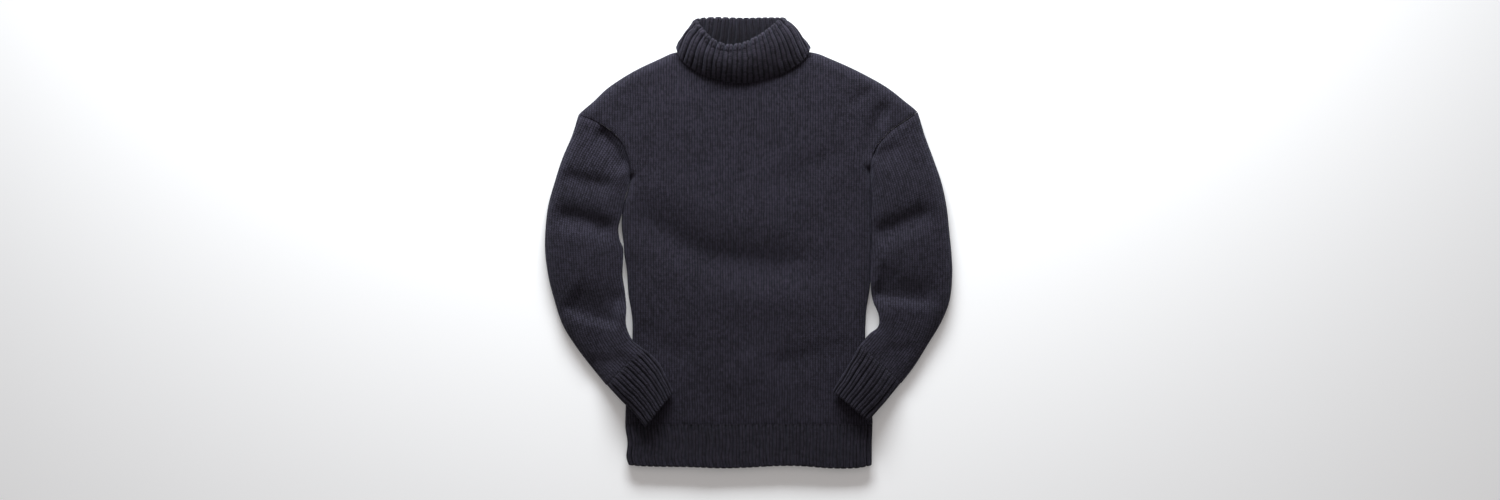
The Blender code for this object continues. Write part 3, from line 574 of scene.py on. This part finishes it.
def sleeve_surface(hand, places, share, height, start, rise):
    """Outer faces of a sleeve, above and below, and the ways out of its wall.

    start is 1 at the armhole, where the sleeve takes the torso's height, and 0 further down.
    rise lifts the whole tube, as under a cuff whose ribs stand out below it.
    """
    cosine, sine, way = turn_at(EDGES[hand][1], places)
    soft = body_lift(places, SOFT_RAMP)
    hard = body_lift(places, HARD_RAMP) + rise
    full = soft + rise + height * (1.0 - SLEEVE_CROWN * (2.0 * share - 1.0) ** 2)
    full = blend(full, front_full(places), start) + fold_rise(SLEEVE_FOLDS[hand], places)
    full = full + RIPPLE * blend(ripple(places, SLEEVE_WAVES), ripple(places, FRONT_WAVES), start)
    full = full - seam_dip(places) * (places[:, 1] > RIB_TOP_Y + HEM_SEAM_REACH)
    full = full - SLEEVE_TUCK * ramp_up(start, (TUCK_START, 1.0))
    beside_body = ramp_up(places[:, 1], (LIFT_ENDS_Y, LIFT_STARTS_Y))
    from_inner_edge = EDGES[hand][1][1].at(places)[0]
    edge_raise = np.exp(-(from_inner_edge / EDGE_RAISE_WIDTH) ** 2) * beside_body
    edge_raise = edge_raise * np.clip(EDGE_RAISE_GROWTH * (1.0 - start), 0.0, 1.0)
    middle = np.maximum(soft, hard) + SEAM_HEIGHT + EDGE_RAISE * edge_raise
    above = np.column_stack([places, middle + (full - middle) * sine])
    below = np.column_stack([places, middle - (middle - hard) * sine])
    return above, below, direction(way, cosine, sine), direction(way, cosine, -sine)


class Wall:
    """A closed cloth wall, gathered from grids of points and their places in the knit."""

    def __init__(self, name):
        self.name = name
        self.points = []
        self.knits = []
        self.faces = []
        self.count = 0

    def add(self, grid, knit):
        """Take in a grid of points; knit holds how many wales across and courses up each is."""
        grid = np.asarray(grid, float)
        self.points.append(grid.reshape(-1, 3))
        self.knits.append(np.asarray(knit, float).reshape(-1, 2))
        start = self.count
        self.count += len(self.points[-1])
        return np.arange(start, self.count).reshape(grid.shape[:-1])

    def sheet(self, grid):
        """Join a grid of points with four-sided faces."""
        corners = (grid[:-1, :-1], grid[:-1, 1:], grid[1:, 1:], grid[1:, :-1])
        self.faces.append(np.stack([corner.ravel() for corner in corners], axis=1))

    def join(self, first, second):
        """Fill the strip between two lines of points, always across the shorter diagonal."""
        place = np.concatenate(self.points)
        i = j = 0
        last_i, last_j = len(first) - 1, len(second) - 1
        strip = []
        while i < last_i or j < last_j:
            ahead = back = math.inf
            if i < last_i:
                ahead = np.linalg.norm(place[first[i + 1]] - place[second[j]])
            if j < last_j:
                back = np.linalg.norm(place[first[i]] - place[second[j + 1]])
            if ahead <= back:
                strip.append((first[i], first[i + 1], second[j], second[j]))
                i += 1
            else:
                strip.append((first[i], second[j + 1], second[j], second[j]))
                j += 1
        self.faces.append(np.array(strip))

    def build(self, material):
        """Merge the points where a grid closes on itself and make the mesh."""
        points = (np.concatenate(self.points) - ORIGIN) * MM
        faces = np.concatenate(self.faces)
        knits = np.concatenate(self.knits)
        keys = np.round(points * MERGE_STEPS).astype(np.int64)
        _, kept, same = np.unique(keys, axis=0, return_index=True, return_inverse=True)
        same = same.ravel()
        three = faces[:, 2] == faces[:, 3]
        quads, triangles = faces[~three], faces[three][:, :3]
        corners = np.concatenate([quads.ravel(), triangles.ravel()])
        starts = np.concatenate([np.arange(len(quads)) * 4,
                                 len(quads) * 4 + np.arange(len(triangles)) * 3])
        mesh = bpy.data.meshes.new(self.name)
        mesh.vertices.add(len(kept))
        mesh.vertices.foreach_set("co", points[kept].astype(np.float32).ravel())
        mesh.loops.add(len(corners))
        mesh.loops.foreach_set("vertex_index", same[corners].astype(np.int32))
        mesh.polygons.add(len(starts))
        mesh.polygons.foreach_set("loop_start", starts.astype(np.int32))
        mesh.update(calc_edges=True)
        layer = mesh.uv_layers.new(name="knit")
        layer.data.foreach_set("uv", knits[corners].astype(np.float32).ravel())
        mesh.validate()
        mesh.shade_smooth()
        mesh.set_sharp_from_angle(angle=math.radians(SHARP_ANGLE))
        if signed_volume(mesh) < 0.0:
            mesh.flip_normals()
        mesh.materials.append(material)
        piece = bpy.data.objects.new(self.name, mesh)
        bpy.context.scene.collection.objects.link(piece)
        return piece


def signed_volume(mesh):
    mesh.calc_loop_triangles()
    points = np.zeros(len(mesh.vertices) * 3, np.float32)
    corners = np.zeros(len(mesh.loop_triangles) * 3, np.int32)
    mesh.vertices.foreach_get("co", points)
    mesh.loop_triangles.foreach_get("vertices", corners)
    a, b, c = points.reshape(-1, 3)[corners].reshape(-1, 3, 3).astype(float).transpose(1, 0, 2)
    return (np.cross(a, b) * c).sum()


def edge_steps(width, samples):
    """Distances across a flattened piece, closest together where it folds over."""
    edge = np.linspace(0.0, EDGE_RADIUS, EDGE_SAMPLES) ** 2 / EDGE_RADIUS
    middle = np.linspace(EDGE_RADIUS, width - EDGE_RADIUS, samples)
    return np.concatenate([edge[:-1], middle, width - edge[-2::-1]])


def panel_wall(name, outside, inside, knit, material):
    """A wall between two grids, closed along their four sides; the inside is cut coarser."""
    take = np.ix_(*(np.unique(np.append(np.arange(0, size, INSIDE_COARSER), size - 1))
                    for size in inside.shape[:2]))
    wall = Wall(name)
    outer, inner = wall.add(outside, knit), wall.add(inside[take], knit[take])
    wall.sheet(outer)
    wall.sheet(inner[::-1])
    for line in (np.s_[0, :], np.s_[-1, :], np.s_[:, 0], np.s_[:, -1]):
        wall.join(outer[line], inner[line])
    return wall.build(material)


def side_below_armhole(hand, rows):
    """Places up the side seam from the top of the hem rib to the armpit."""
    line = SIDES_UP[hand]
    distance = np.interp(RIB_TOP_Y + SEAM_GAP, line[:, 1], lengths(line))
    return resample(line, np.linspace(distance, lengths(line)[-1], rows + 1))


def torso_panel(name, surface, neck_rows, coarser, material):
    """The front or the back: a grid between its sides, armholes, shoulders and neckline."""
    sides = []
    for hand in ("right", "left"):
        armhole = ARMHOLE_LINES[hand]
        distances = edge_steps(lengths(armhole)[-1], FRONT_ARMHOLE_ROWS // coarser)
        below = side_below_armhole(hand, FRONT_BODY_ROWS // coarser)
        sides.append(np.concatenate([below, resample(armhole, distances)[1:]]))
    right, left = sides
    height = np.linspace(0.0, 1.0, len(right))
    top_line = top_edge(neck_rows)
    places = []
    for i in range(len(right)):
        x = right[i, 0] + edge_steps(left[i, 0] - right[i, 0], FRONT_COLUMNS // coarser)
        share = (x - right[i, 0]) / (left[i, 0] - right[i, 0])
        top_x = blend(right[-1, 0], left[-1, 0], share)
        level = blend(right[i, 1], left[i, 1], share)
        top = np.interp(top_x, *top_line.T) - blend(right[-1, 1], left[-1, 1], share)
        places.append(np.column_stack([x, level + height[i] * top]))
    grid = np.array(places)
    outer, way = surface(grid.reshape(-1, 2))
    shape = grid.shape[:2] + (3,)
    inner = (outer - WALL * way).reshape(shape)
    knit = grid / (WALE, COURSE)
    return panel_wall(name, outer.reshape(shape), inner, knit, material)


def rib_profile(phase):
    """Height of a rib at each phase: 1 on its two rounded wales, down to below 0 in the groove."""
    phase = phase - np.floor(phase)
    crest = 1.0 - (1.0 - np.sin(math.pi * phase)) ** 2.0
    crest = crest - WALE_GAP * np.exp(-((phase - 0.5) / WALE_GAP_WIDTH) ** 2)
    return crest - GROOVE * np.exp(-((phase - np.round(phase)) / GROOVE_WIDTH) ** 2)


def wave(rates, count, share):
    """A slow wave from rib to rib and up the ribs."""
    return np.sin(rates[0] * count + rates[1] * share)


def rim(outer, inner, before):
    """Rows of points round a free edge, from the outer face's last row to the inner face's."""
    out = unit(outer - before)
    middle, half = 0.5 * (outer + inner), 0.5 * (outer - inner)
    size = np.linalg.norm(half, axis=1, keepdims=True)
    rows = []
    for angle in np.linspace(0.0, math.pi, RIM_STEPS + 2)[1:-1]:
        rows.append(middle + math.cos(angle) * half + math.sin(angle) * size * out)
    return rows


def ribbed_hem(name, surface, resting, material):
    """The hem rib of the front or the back; where it rests on the floor its crests don't stand out."""
    fine = HEM_RIBS * RIB_STEPS
    outside, inside, knit = [], [], []
    bottom = dense(HEM_LINE)
    low = 0.5 * RIB_WALL / HEM_HEIGHT
    for share in np.linspace(1.0, low, HEM_ROWS):
        ends = [np.interp(blend(side[0, 1], RIB_TOP_Y, share), side[:, 1], side[:, 0])
                for side in SIDES_UP.values()]
        x = ends[0] + edge_steps(ends[1] - ends[0], PLAIN_SAMPLES)
        line, way = surface(np.column_stack([x, blend(np.interp(x, *bottom.T), RIB_TOP_Y, share)]))
        points, ways = resample(line, np.linspace(0.0, lengths(line)[-1], fine + 1), way)
        count = np.arange(fine + 1) / RIB_STEPS
        drift = HEM_DRIFT * wave(HEM_DRIFT_WAVE, count, share) * np.sin(math.pi * count / HEM_RIBS)
        profile = rib_profile(count + drift)
        depth = RIB_RELIEF * (1.0 - 0.5 * HEM_UNEVEN + HEM_UNEVEN * wave(HEM_UNEVEN_WAVE, count, share))
        relief = depth * (profile - 1.0) + (0.0 if resting else 0.5 * RIB_RELIEF)
        outside.append(points + unit(ways) * relief[:, None])
        inside.append(points - unit(ways) * (RIB_WALL + (0.0 if resting else 0.5 * RIB_RELIEF)))
        along = np.full(fine + 1, share * HEM_HEIGHT / COURSE)
        knit.append(np.column_stack([WALES_IN_RIB * (count + drift), along]))
    outside, inside, knit = np.array(outside), np.array(inside), np.array(knit)
    edge = np.array(rim(outside[-1], inside[-1], outside[-2]))
    edge_knit = knit[-1] - np.arange(1, RIM_STEPS + 1)[:, None, None] * (0.0, RIM_COURSES)
    wall = Wall(name)
    whole = np.concatenate([outside, edge, inside[::-INSIDE_COARSER], inside[:1]])
    whole_knit = np.concatenate([knit, edge_knit, knit[::-INSIDE_COARSER], knit[:1]])
    grid = wall.add(whole, whole_knit)
    wall.sheet(grid)
    wall.join(grid[0], grid[-1])
    middle = len(outside) + RIM_STEPS // 2
    for side in (0, -1):
        wall.join(grid[:middle, side], grid[middle - 1:, side][::-1])
    return wall.build(material)


def section_values(sections, place):
    rows = np.array(sections, float)
    values = spline(rows, np.array([place]))[0]
    return values[:2], values[2:4], values[4]


def tube_wall(name, outside, inside, knit, material, edge_rows=()):
    """A tube whose grids run right round and back along the inside, closed on themselves."""
    coarse = inside[::-INSIDE_COARSER]
    if (len(inside) - 1) % INSIDE_COARSER:
        coarse = np.concatenate([coarse, inside[:1]])
    coarse_knit = knit[::-INSIDE_COARSER]
    if len(coarse_knit) < len(coarse):
        coarse_knit = np.concatenate([coarse_knit, knit[:1]])
    for rings in (outside, coarse, *(row[None] for row in edge_rows)):
        rings[:, -1] = rings[:, 0]      # a ring ends exactly where it starts
    parts, knits = [outside], [knit]
    for number, row in enumerate(edge_rows):
        parts.append(row[None])
        knits.append((knit[-1] + np.array((0.0, RIM_COURSES * (number + 1))))[None])
    parts += [coarse, outside[:1]]
    knits += [coarse_knit, knit[:1]]
    wall = Wall(name)
    wall.sheet(wall.add(np.concatenate(parts), np.concatenate(knits)))
    return wall.build(material)


def back_along(chord):
    """The way up a sleeve, square to the line across it."""
    across = unit(np.array([-chord[1], chord[0]]))
    return across * np.sign(across[1])


def sleeve(hand, material):
    """A sleeve as a flattened tube from the armhole to the cuff."""
    sections = SLEEVE[hand]
    armhole = ARMHOLE_LINES[hand][::-1]
    length = lengths(armhole)[-1]
    along = edge_steps(length, SLEEVE_SAMPLES) / length
    armhole = resample(armhole, along * length)
    bulge = armhole - blend(armhole[0], armhole[-1], along[:, None])
    away = np.array([-1.0 if hand == "right" else 1.0, -1.0]) * SEAM_GAP
    outside, inside, knit = [], [], []
    course = 0.0
    middle_before = None
    last = len(sections) - 1
    for place in np.linspace(0.0, last, SLEEVE_ROWS):
        outer_edge, inner_edge, height = section_values(sections, place)
        chord = inner_edge - outer_edge
        width = np.linalg.norm(chord)
        near = 1.0 - smoothstep(place / ARMHOLE_SECTIONS)
        share = blend(edge_steps(width, SLEEVE_SAMPLES) / width, along, near)
        places = blend(outer_edge, inner_edge, share[:, None]) + near * bulge + near * away
        if place == last:
            places = places + SEAM_GAP * back_along(chord)
        above, below, up, down = sleeve_surface(hand, places - near * away, share, height, near, 0.0)
        above[:, :2] = places
        below[:, :2] = places
        late = ramp_up(place, (last - END_SECTIONS, last))
        flat = unit(chord) * np.sign(2.0 * share - 1.0)[:, None]
        for way in (up, down):
            size = np.linalg.norm(way[:, :2], axis=1, keepdims=True)
            way[:, :2] = size * unit(blend(way[:, :2], size * flat, late))
        ring = np.concatenate([above, below[-2::-1]])
        ways = np.concatenate([up, down[-2::-1]])
        outside.append(ring)
        inside.append(ring - WALL * ways)
        if place == last:
            outside[-1] = ring - OVERHANG * np.append(back_along(chord), 0.0)
        middle = 0.5 * (outer_edge + inner_edge)
        if middle_before is not None:
            course += np.linalg.norm(middle - middle_before) / COURSE
        middle_before = middle
        across_knit = np.concatenate([share - 0.5, 1.5 - share[-2::-1]]) * width / WALE
        knit.append(np.column_stack([across_knit, np.full(len(ring), -course)]))
    return tube_wall("sweater_sleeve_" + hand, np.array(outside), np.array(inside), np.array(knit),
                     material)


def cuff(hand, material):
    """A ribbed cuff lying on the front."""
    sections = SLEEVE[hand][-1:] + CUFF[hand]
    fine = CUFF_RIBS * RIB_STEPS
    outside, inside, knit = [], [], []
    step = CUFF_LENGTH / (len(sections) - 1)
    for place in np.linspace(0.0, len(sections) - 1 - 0.5 * RIB_WALL / step, CUFF_ROWS):
        outer_edge, inner_edge, height = section_values(sections, place)
        chord = inner_edge - outer_edge
        width = np.linalg.norm(chord)
        across = edge_steps(width, PLAIN_SAMPLES) / width
        places = blend(outer_edge, inner_edge, across[:, None])
        above, below, up, down = sleeve_surface(hand, places, across, height, 0.0, 0.5 * RIB_RELIEF)
        flat = unit(chord) * np.sign(2.0 * across - 1.0)[:, None]
        for way in (up, down):
            way[:, :2] = np.linalg.norm(way[:, :2], axis=1, keepdims=True) * flat
        ring = np.concatenate([above, below[-2::-1]])
        ways = np.concatenate([up, down[-2::-1]])
        total = lengths(ring)[-1]
        points, outward = resample(ring, np.linspace(0.0, total, fine + 1), ways)
        count = np.arange(fine + 1) / RIB_STEPS
        profile = rib_profile(count)
        length = place * step
        relief = (RIB_RELIEF * (profile - 1.0) + 0.5 * RIB_RELIEF) * smoothstep(length / RIBS_START)
        relief = relief - CUFF_TUCK * math.exp(-(length / SEAM_WIDTH) ** 2)
        outside.append(points + unit(outward) * relief[:, None])
        if place == 0.0:
            outside[0] -= OVERHANG * np.append(back_along(chord), 0.0)
        inside.append(points - unit(outward) * (RIB_WALL + 0.5 * RIB_RELIEF))
        along = np.full(fine + 1, length / COURSE)
        knit.append(np.column_stack([WALES_IN_RIB * count, along]))
    outside, inside, knit = np.array(outside), np.array(inside), np.array(knit)
    edge = rim(outside[-1], inside[-1], outside[-2])
    return tube_wall("sweater_cuff_" + hand, outside, inside, knit, material, edge)


def collar_profile(places):
    """Middle of the collar's wall and its ribbed side's direction, along each rib place.

    The wall runs from the neckline up to the fold, round it, and down the outside to its edge.
    """
    def line(part, shift=0.0):
        return spline([getattr(row, part) for row in COLLAR], places + shift, closed=True)

    base, fold, edge = (line(part) for part in ("base", "fold", "edge"))
    fold_way, edge_way = (line(part, ROW_STEP) - line(part, -ROW_STEP) for part in ("fold", "edge"))
    up = unit(fold - base)
    outward = unit(np.cross(unit(fold_way), up))
    fat = ramp_up(fold[..., 2:], ROLL_HEIGHTS)
    radius = blend(FOLD_RADIUS, ROLL_RADIUS, fat)
    turn_centre = fold - (radius + 0.5 * RIB_WALL) * up
    stand_end = turn_centre - radius * outward
    flap_start = turn_centre + radius * outward
    flap_outward = unit(np.cross(unit(edge_way), unit(flap_start - edge)))
    middles, ways = [], []
    for share in np.linspace(0.0, 1.0, STAND_ROWS + 1)[:-1]:
        middles.append(blend(base, stand_end, share))
        ways.append(-outward)
    for angle in np.linspace(0.0, math.pi, TURN_STEPS + 1):
        way = math.sin(angle) * up - math.cos(angle) * outward
        middles.append(turn_centre + radius * way)
        ways.append(way)
    facing_up = ramp_up(flap_outward[..., 2:], BELLY_FACES)
    for share in np.linspace(0.0, 1.0, FLAP_ROWS + 1)[1:]:
        way = unit(blend(outward, flap_outward, smoothstep(share)))
        bulge = FLAP_BULGE * math.sin(math.pi * share ** BELLY_POWER) * facing_up
        middles.append(blend(flap_start, edge, share) + bulge * way)
        ways.append(way)
    return np.array(middles), np.array(ways)


def rest_on_front(middles, ways):
    """Raise the turned-down part of the collar where the front lies under it."""
    plain = (middles - 0.5 * RIB_WALL * ways).reshape(-1, 3)
    edge = np.interp(plain[:, 0], *top_edge(FRONT_NECK).T) + COLLAR_REACH
    inside = smoothstep((edge - plain[:, 1]) / (COLLAR_REACH - 1.0))
    below = front_full(plain[:, :2]) + REST_GAP
    facing_up = ways.reshape(-1, 3)[:, 2] > FLAP_FACES_UP
    lift = np.where(facing_up, np.clip(below - plain[:, 2], 0.0, None), 0.0) * inside
    return middles + (lift[:, None] * np.array([0.0, 0.0, 1.0])).reshape(middles.shape)


def collar(material):
    """The roll collar, ribbed on both sides that show."""
    fine = COLLAR_RIBS * RIB_STEPS
    places = np.linspace(0.0, len(COLLAR), fine + 1)
    middles, ways = collar_profile(places)
    flap = STAND_ROWS + TURN_STEPS
    middles[flap:] = rest_on_front(middles[flap:], ways[flap:])
    height, facing_up = middles[..., 2], ways[..., 2]
    on_floor = smoothstep((SEAM_HEIGHT - height) / ON_FLOOR_HEIGHT) * ramp_up(facing_up, ON_FLOOR_FACES)
    inside_turn = ramp_up(np.abs(facing_up), INSIDE_FACES)
    inside_turn[STAND_ROWS + TURN_STEPS // 2:] = 1.0
    count = np.arange(fine + 1) / RIB_STEPS
    profile = rib_profile(count)[None, :]
    rows = np.arange(len(middles), dtype=float)[:, None]
    on_roll = np.exp(-((rows - STAND_ROWS - KNOB_ROWS * TURN_STEPS) / (KNOB_ROWS * TURN_STEPS)) ** 2)
    on_roll = on_roll * ramp_up(height, KNOB_HEIGHTS)
    thin = ramp_up(rows - len(middles), (-THIN_ROWS[0], -THIN_ROWS[1]))
    relief = RIB_RELIEF * (profile - on_floor) * blend(INSIDE_RELIEF, 1.0, inside_turn)
    relief = relief * (1.0 + KNOBS * on_roll) * blend(*RELIEF_SIDES, ramp_up(middles[..., 0], RELIEF_X))
    relief = relief * (1.0 - THIN_RELIEF * thin) - THIN_WALL * RIB_WALL * thin
    outside = middles + ways * (0.5 * RIB_WALL + relief)[..., None]
    inside = middles - ways * 0.5 * RIB_WALL
    along = np.linalg.norm(np.diff(middles, axis=0), axis=2).mean(axis=1)
    course = np.concatenate([[0.0], np.cumsum(along)]) / COURSE
    knit = np.stack(np.broadcast_arrays(WALES_IN_RIB * count[None, :], course[:, None]), axis=2)
    edge = rim(outside[-1], inside[-1], outside[-2])
    return tube_wall("sweater_collar", outside, inside, knit, material, edge)


class Nodes:
    """A short way to write a material's nodes."""

    def __init__(self, material):
        material.use_nodes = True
        self.tree = material.node_tree
        self.shader = self.tree.nodes["Principled BSDF"]

    def set_shader(self, values):
        for socket, value in values.items():
            self.shader.inputs[socket].default_value = value

    def add(self, kind, **values):
        node = self.tree.nodes.new(kind)
        for name, value in values.items():
            setattr(node, name, value)
        return node

    def link(self, source, target):
        self.tree.links.new(source, target)

    def math(self, operation, first, second=None, clamp=False):
        node = self.add("ShaderNodeMath", operation=operation, use_clamp=clamp)
        for socket, value in zip(node.inputs, (first, second)):
            if value is None:
                continue
            if isinstance(value, (int, float)):
                socket.default_value = value
            else:
                self.link(value, socket)
        return node.outputs[0]

    def times(self, first, second):
        return self.math("MULTIPLY", first, second)

    def noise(self, vector, scale, detail, roughness=0.5):
        node = self.add("ShaderNodeTexNoise")
        node.inputs["Scale"].default_value = scale
        node.inputs["Detail"].default_value = detail
        node.inputs["Roughness"].default_value = roughness
        self.link(vector, node.inputs["Vector"])
        return node.outputs["Fac"]

    def vary(self, value, chance, amount):
        """The value, moved up or down by up to half the amount as chance runs from 0 to 1."""
        return self.math("ADD", value, self.times(self.math("SUBTRACT", chance, 0.5), amount))

    def hump(self, value, power):
        """0 where the value is 0 or 1, and 1 half way between, the squarer the higher the power."""
        middle = self.math("ABSOLUTE", self.math("SUBTRACT", self.times(value, 2.0), 1.0))
        return self.math("SUBTRACT", 1.0, self.math("POWER", middle, power))

    def bump(self, height, depth, strength, under=None):
        node = self.add("ShaderNodeBump")
        node.inputs["Strength"].default_value = strength
        node.inputs["Distance"].default_value = depth * MM
        self.link(height, node.inputs["Height"])
        if under is not None:
            self.link(under, node.inputs["Normal"])
        return node.outputs["Normal"]

    def mix(self, share, first, second):
        node = self.add("ShaderNodeMix", data_type="RGBA")
        self.link(share, node.inputs["Factor"])
        for name, value in (("A", first), ("B", second)):
            socket = [s for s in node.inputs if s.name == name and s.type == "RGBA"][0]
            if isinstance(value, tuple):
                socket.default_value = value
            else:
                self.link(value, socket)
        return [s for s in node.outputs if s.type == "RGBA"][0]


def knitted_wool(name, light, shaded_groove=1.0, shaded_neck=1.0):
    """Navy wool in stocking stitch: two slanting strands to each stitch, fibres and a soft nap, with
    painted shade in the gaps between stitches.

    The knit map counts wales across and courses up. The third argument is how bright a rib's grooves
    are painted next to its crests, as painted shade, and the fourth how bright the first courses are
    painted, down inside the neck, as painted shade.
    """
    material = bpy.data.materials.new(name)
    nodes = Nodes(material)
    nodes.set_shader(WOOL_SHADER)

    where = nodes.add("ShaderNodeTexCoord").outputs["Object"]
    place = nodes.add("ShaderNodeUVMap", uv_map="knit").outputs["UV"]
    split = nodes.add("ShaderNodeSeparateXYZ")
    nodes.link(place, split.inputs[0])
    across, up = (nodes.vary(split.outputs[axis], nodes.noise(where, scale, SOFT_DETAIL), amount)
                  for axis, (scale, amount) in enumerate(STITCH_WOBBLE))
    wale = nodes.math("FRACT", across)
    out = nodes.times(nodes.math("ABSOLUTE", nodes.math("SUBTRACT", wale, 0.5)), 2.0)
    slanted = nodes.math("SUBTRACT", up, nodes.times(out, STRAND_SLANT))
    loop = nodes.hump(nodes.math("FRACT", slanted), LOOP_POWER)
    strand = nodes.times(nodes.math("POWER", nodes.hump(out, 2.0), STRAND_POWER), loop)
    crown = nodes.math("POWER", nodes.math("COSINE", nodes.times(out, 0.5 * math.pi)), CROWN_POWER)
    crown = nodes.times(crown, nodes.math("ADD", 1.0 - LOOP_SHARE, nodes.times(loop, LOOP_SHARE)))
    stitch = nodes.math("ADD", nodes.times(crown, CROWN_SHARE), nodes.times(strand, 1.0 - CROWN_SHARE))

    cell = nodes.add("ShaderNodeCombineXYZ")
    nodes.link(nodes.math("FLOOR", across), cell.inputs[0])
    nodes.link(nodes.math("FLOOR", slanted), cell.inputs[1])
    each = nodes.add("ShaderNodeTexWhiteNoise", noise_dimensions="2D")
    nodes.link(cell.outputs[0], each.inputs["Vector"])
    fibres = nodes.noise(where, FIBRE_SCALE, FIBRE_DETAIL, FIBRE_GRAIN)
    # Painted shade: the colour darkens into the gaps between the stitches' crowns and strands
    tone_and_shade = nodes.times(nodes.math("POWER", stitch, GAP_SHADE_POWER), TONE_GAIN)
    tone_and_shade = nodes.vary(tone_and_shade, each.outputs["Value"], STITCH_VARIES)
    for scale, amount in TONE_NOISES:
        tone_and_shade = nodes.vary(tone_and_shade, nodes.noise(where, scale, SOFT_DETAIL), amount)
    tone_and_shade = nodes.vary(tone_and_shade, fibres, FIBRES_VARY)
    # Painted shade in a rib's grooves, with its crests painted a little lighter
    if shaded_groove < 1.0:
        rib = nodes.times(split.outputs[0], math.pi / WALES_IN_RIB)
        groove_shade_mask = nodes.math("SUBTRACT", 1.0, nodes.math("ABSOLUTE", nodes.math("SINE", rib)))
        depth = 1.0 - shaded_groove
        # Painted shade down inside the neck: the first courses are painted darker, and the painted
        # shade in their grooves deeper
        if shaded_neck < 1.0:
            inside = nodes.add("ShaderNodeMapRange", interpolation_type="SMOOTHSTEP")
            nodes.link(split.outputs[1], inside.inputs["Value"])
            for socket, value in zip(("From Min", "From Max"), NECK_SHADE_COURSES):
                inside.inputs[socket].default_value = value
            inside.inputs["To Min"].default_value = 1.0
            inside.inputs["To Max"].default_value = 0.0
            inside = inside.outputs["Result"]
            shade = nodes.times(inside, 1.0 - shaded_neck)
            tone_and_shade = nodes.times(tone_and_shade, nodes.math("SUBTRACT", 1.0, shade))
            depth = nodes.math("ADD", depth, nodes.times(inside, NECK_GROOVE_SHADE * depth))
        shade = nodes.times(groove_shade_mask, depth)
        crest = 1.0 + CREST_PAINTED_LIGHT * (1.0 - shaded_groove)
        tone_and_shade = nodes.times(tone_and_shade, nodes.math("SUBTRACT", crest, shade))
    tone_and_shade = nodes.math("ADD", tone_and_shade, 0.0, clamp=True)
    nodes.link(nodes.mix(tone_and_shade, WOOL_DARK_AND_SHADE, light), nodes.shader.inputs["Base Color"])
    rough = nodes.math("ADD", WOOL_ROUGH, nodes.times(fibres, FIBRES_ROUGH), clamp=True)
    nodes.link(rough, nodes.shader.inputs["Roughness"])

    nap = nodes.bump(fibres, FIBRE_DEPTH, NAP_STRENGTH)
    nodes.link(nodes.bump(stitch, STITCH_DEPTH, 1.0, nap), nodes.shader.inputs["Normal"])
    return material


def floor():
    material = bpy.data.materials.new("pale_floor")
    Nodes(material).set_shader(FLOOR_SHADER)
    mesh = bpy.data.meshes.new("floor")
    square = ((-1, -1), (1, -1), (1, 1), (-1, 1))
    corners = [(x * FLOOR_HALF, y * FLOOR_HALF, -FLOOR_DROP) for x, y in square]
    mesh.from_pydata(corners, [], [(0, 1, 2, 3)])
    mesh.materials.append(material)
    plane = bpy.data.objects.new("floor", mesh)
    bpy.context.scene.collection.objects.link(plane)


def area_light(lamp):
    light = bpy.data.lights.new(lamp.name, "AREA")
    light.shape = "RECTANGLE"
    light.size = lamp.width
    light.size_y = lamp.depth
    light.energy = lamp.power
    light.color = lamp.colour
    holder = bpy.data.objects.new(lamp.name, light)
    holder.location = lamp.place
    way = np.array(LIGHTS_AIM) - np.array(lamp.place)
    pitch = math.atan2(math.hypot(way[0], way[1]), -way[2])
    holder.rotation_euler = (pitch, 0.0, math.atan2(way[0], -way[1]) + math.pi)
    bpy.context.scene.collection.objects.link(holder)


def lights():
    world = bpy.data.worlds.new("studio")
    world.use_nodes = True
    background = world.node_tree.nodes["Background"]
    background.inputs["Color"].default_value = SKY_COLOUR
    background.inputs["Strength"].default_value = SKY_STRENGTH
    bpy.context.scene.world = world
    for lamp in LAMPS:
        area_light(lamp)


def camera():
    """Straight above, so that the frame's width shows the same width of floor as the photograph."""
    data = bpy.data.cameras.new("camera")
    data.sensor_width = SENSOR_WIDTH
    data.lens = SENSOR_WIDTH * CAMERA_HEIGHT / (PHOTO_WIDTH * PHOTO_SCALE * MM)
    eye = bpy.data.objects.new("camera", data)
    eye.location = (CAMERA_X, CAMERA_Y, CAMERA_HEIGHT + CLOTH_HEIGHT)
    bpy.context.scene.collection.objects.link(eye)
    bpy.context.scene.camera = eye


def main():
    jersey = knitted_wool("wool_jersey", JERSEY_LIGHT)
    # Painted shade in the ribs' grooves, and on the collar also down inside the neck
    rib = knitted_wool("wool_rib", RIB_LIGHT, shaded_groove=0.3)
    neck = knitted_wool("wool_collar", COLLAR_LIGHT, shaded_groove=0.5, shaded_neck=0.2)
    made = {
        "front": torso_panel("sweater_front", front_surface, FRONT_NECK, 1, jersey),
        "back": torso_panel("sweater_back", back_surface, BACK_NECK, BACK_COARSER, jersey),
        "hem_rib_front": ribbed_hem("sweater_hem_rib_front", front_surface, False, rib),
        "hem_rib_back": ribbed_hem("sweater_hem_rib_back", back_surface, True, rib),
        "collar": collar(neck),
    }
    for hand in ("right", "left"):
        made["sleeve_" + hand] = sleeve(hand, jersey)
        made["cuff_" + hand] = cuff(hand, rib)
    for node, piece in made.items():
        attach(piece, "root")
        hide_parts(node)
    floor()
    lights()
    camera()
    bpy.context.scene.view_settings.view_transform = "Standard"


main()
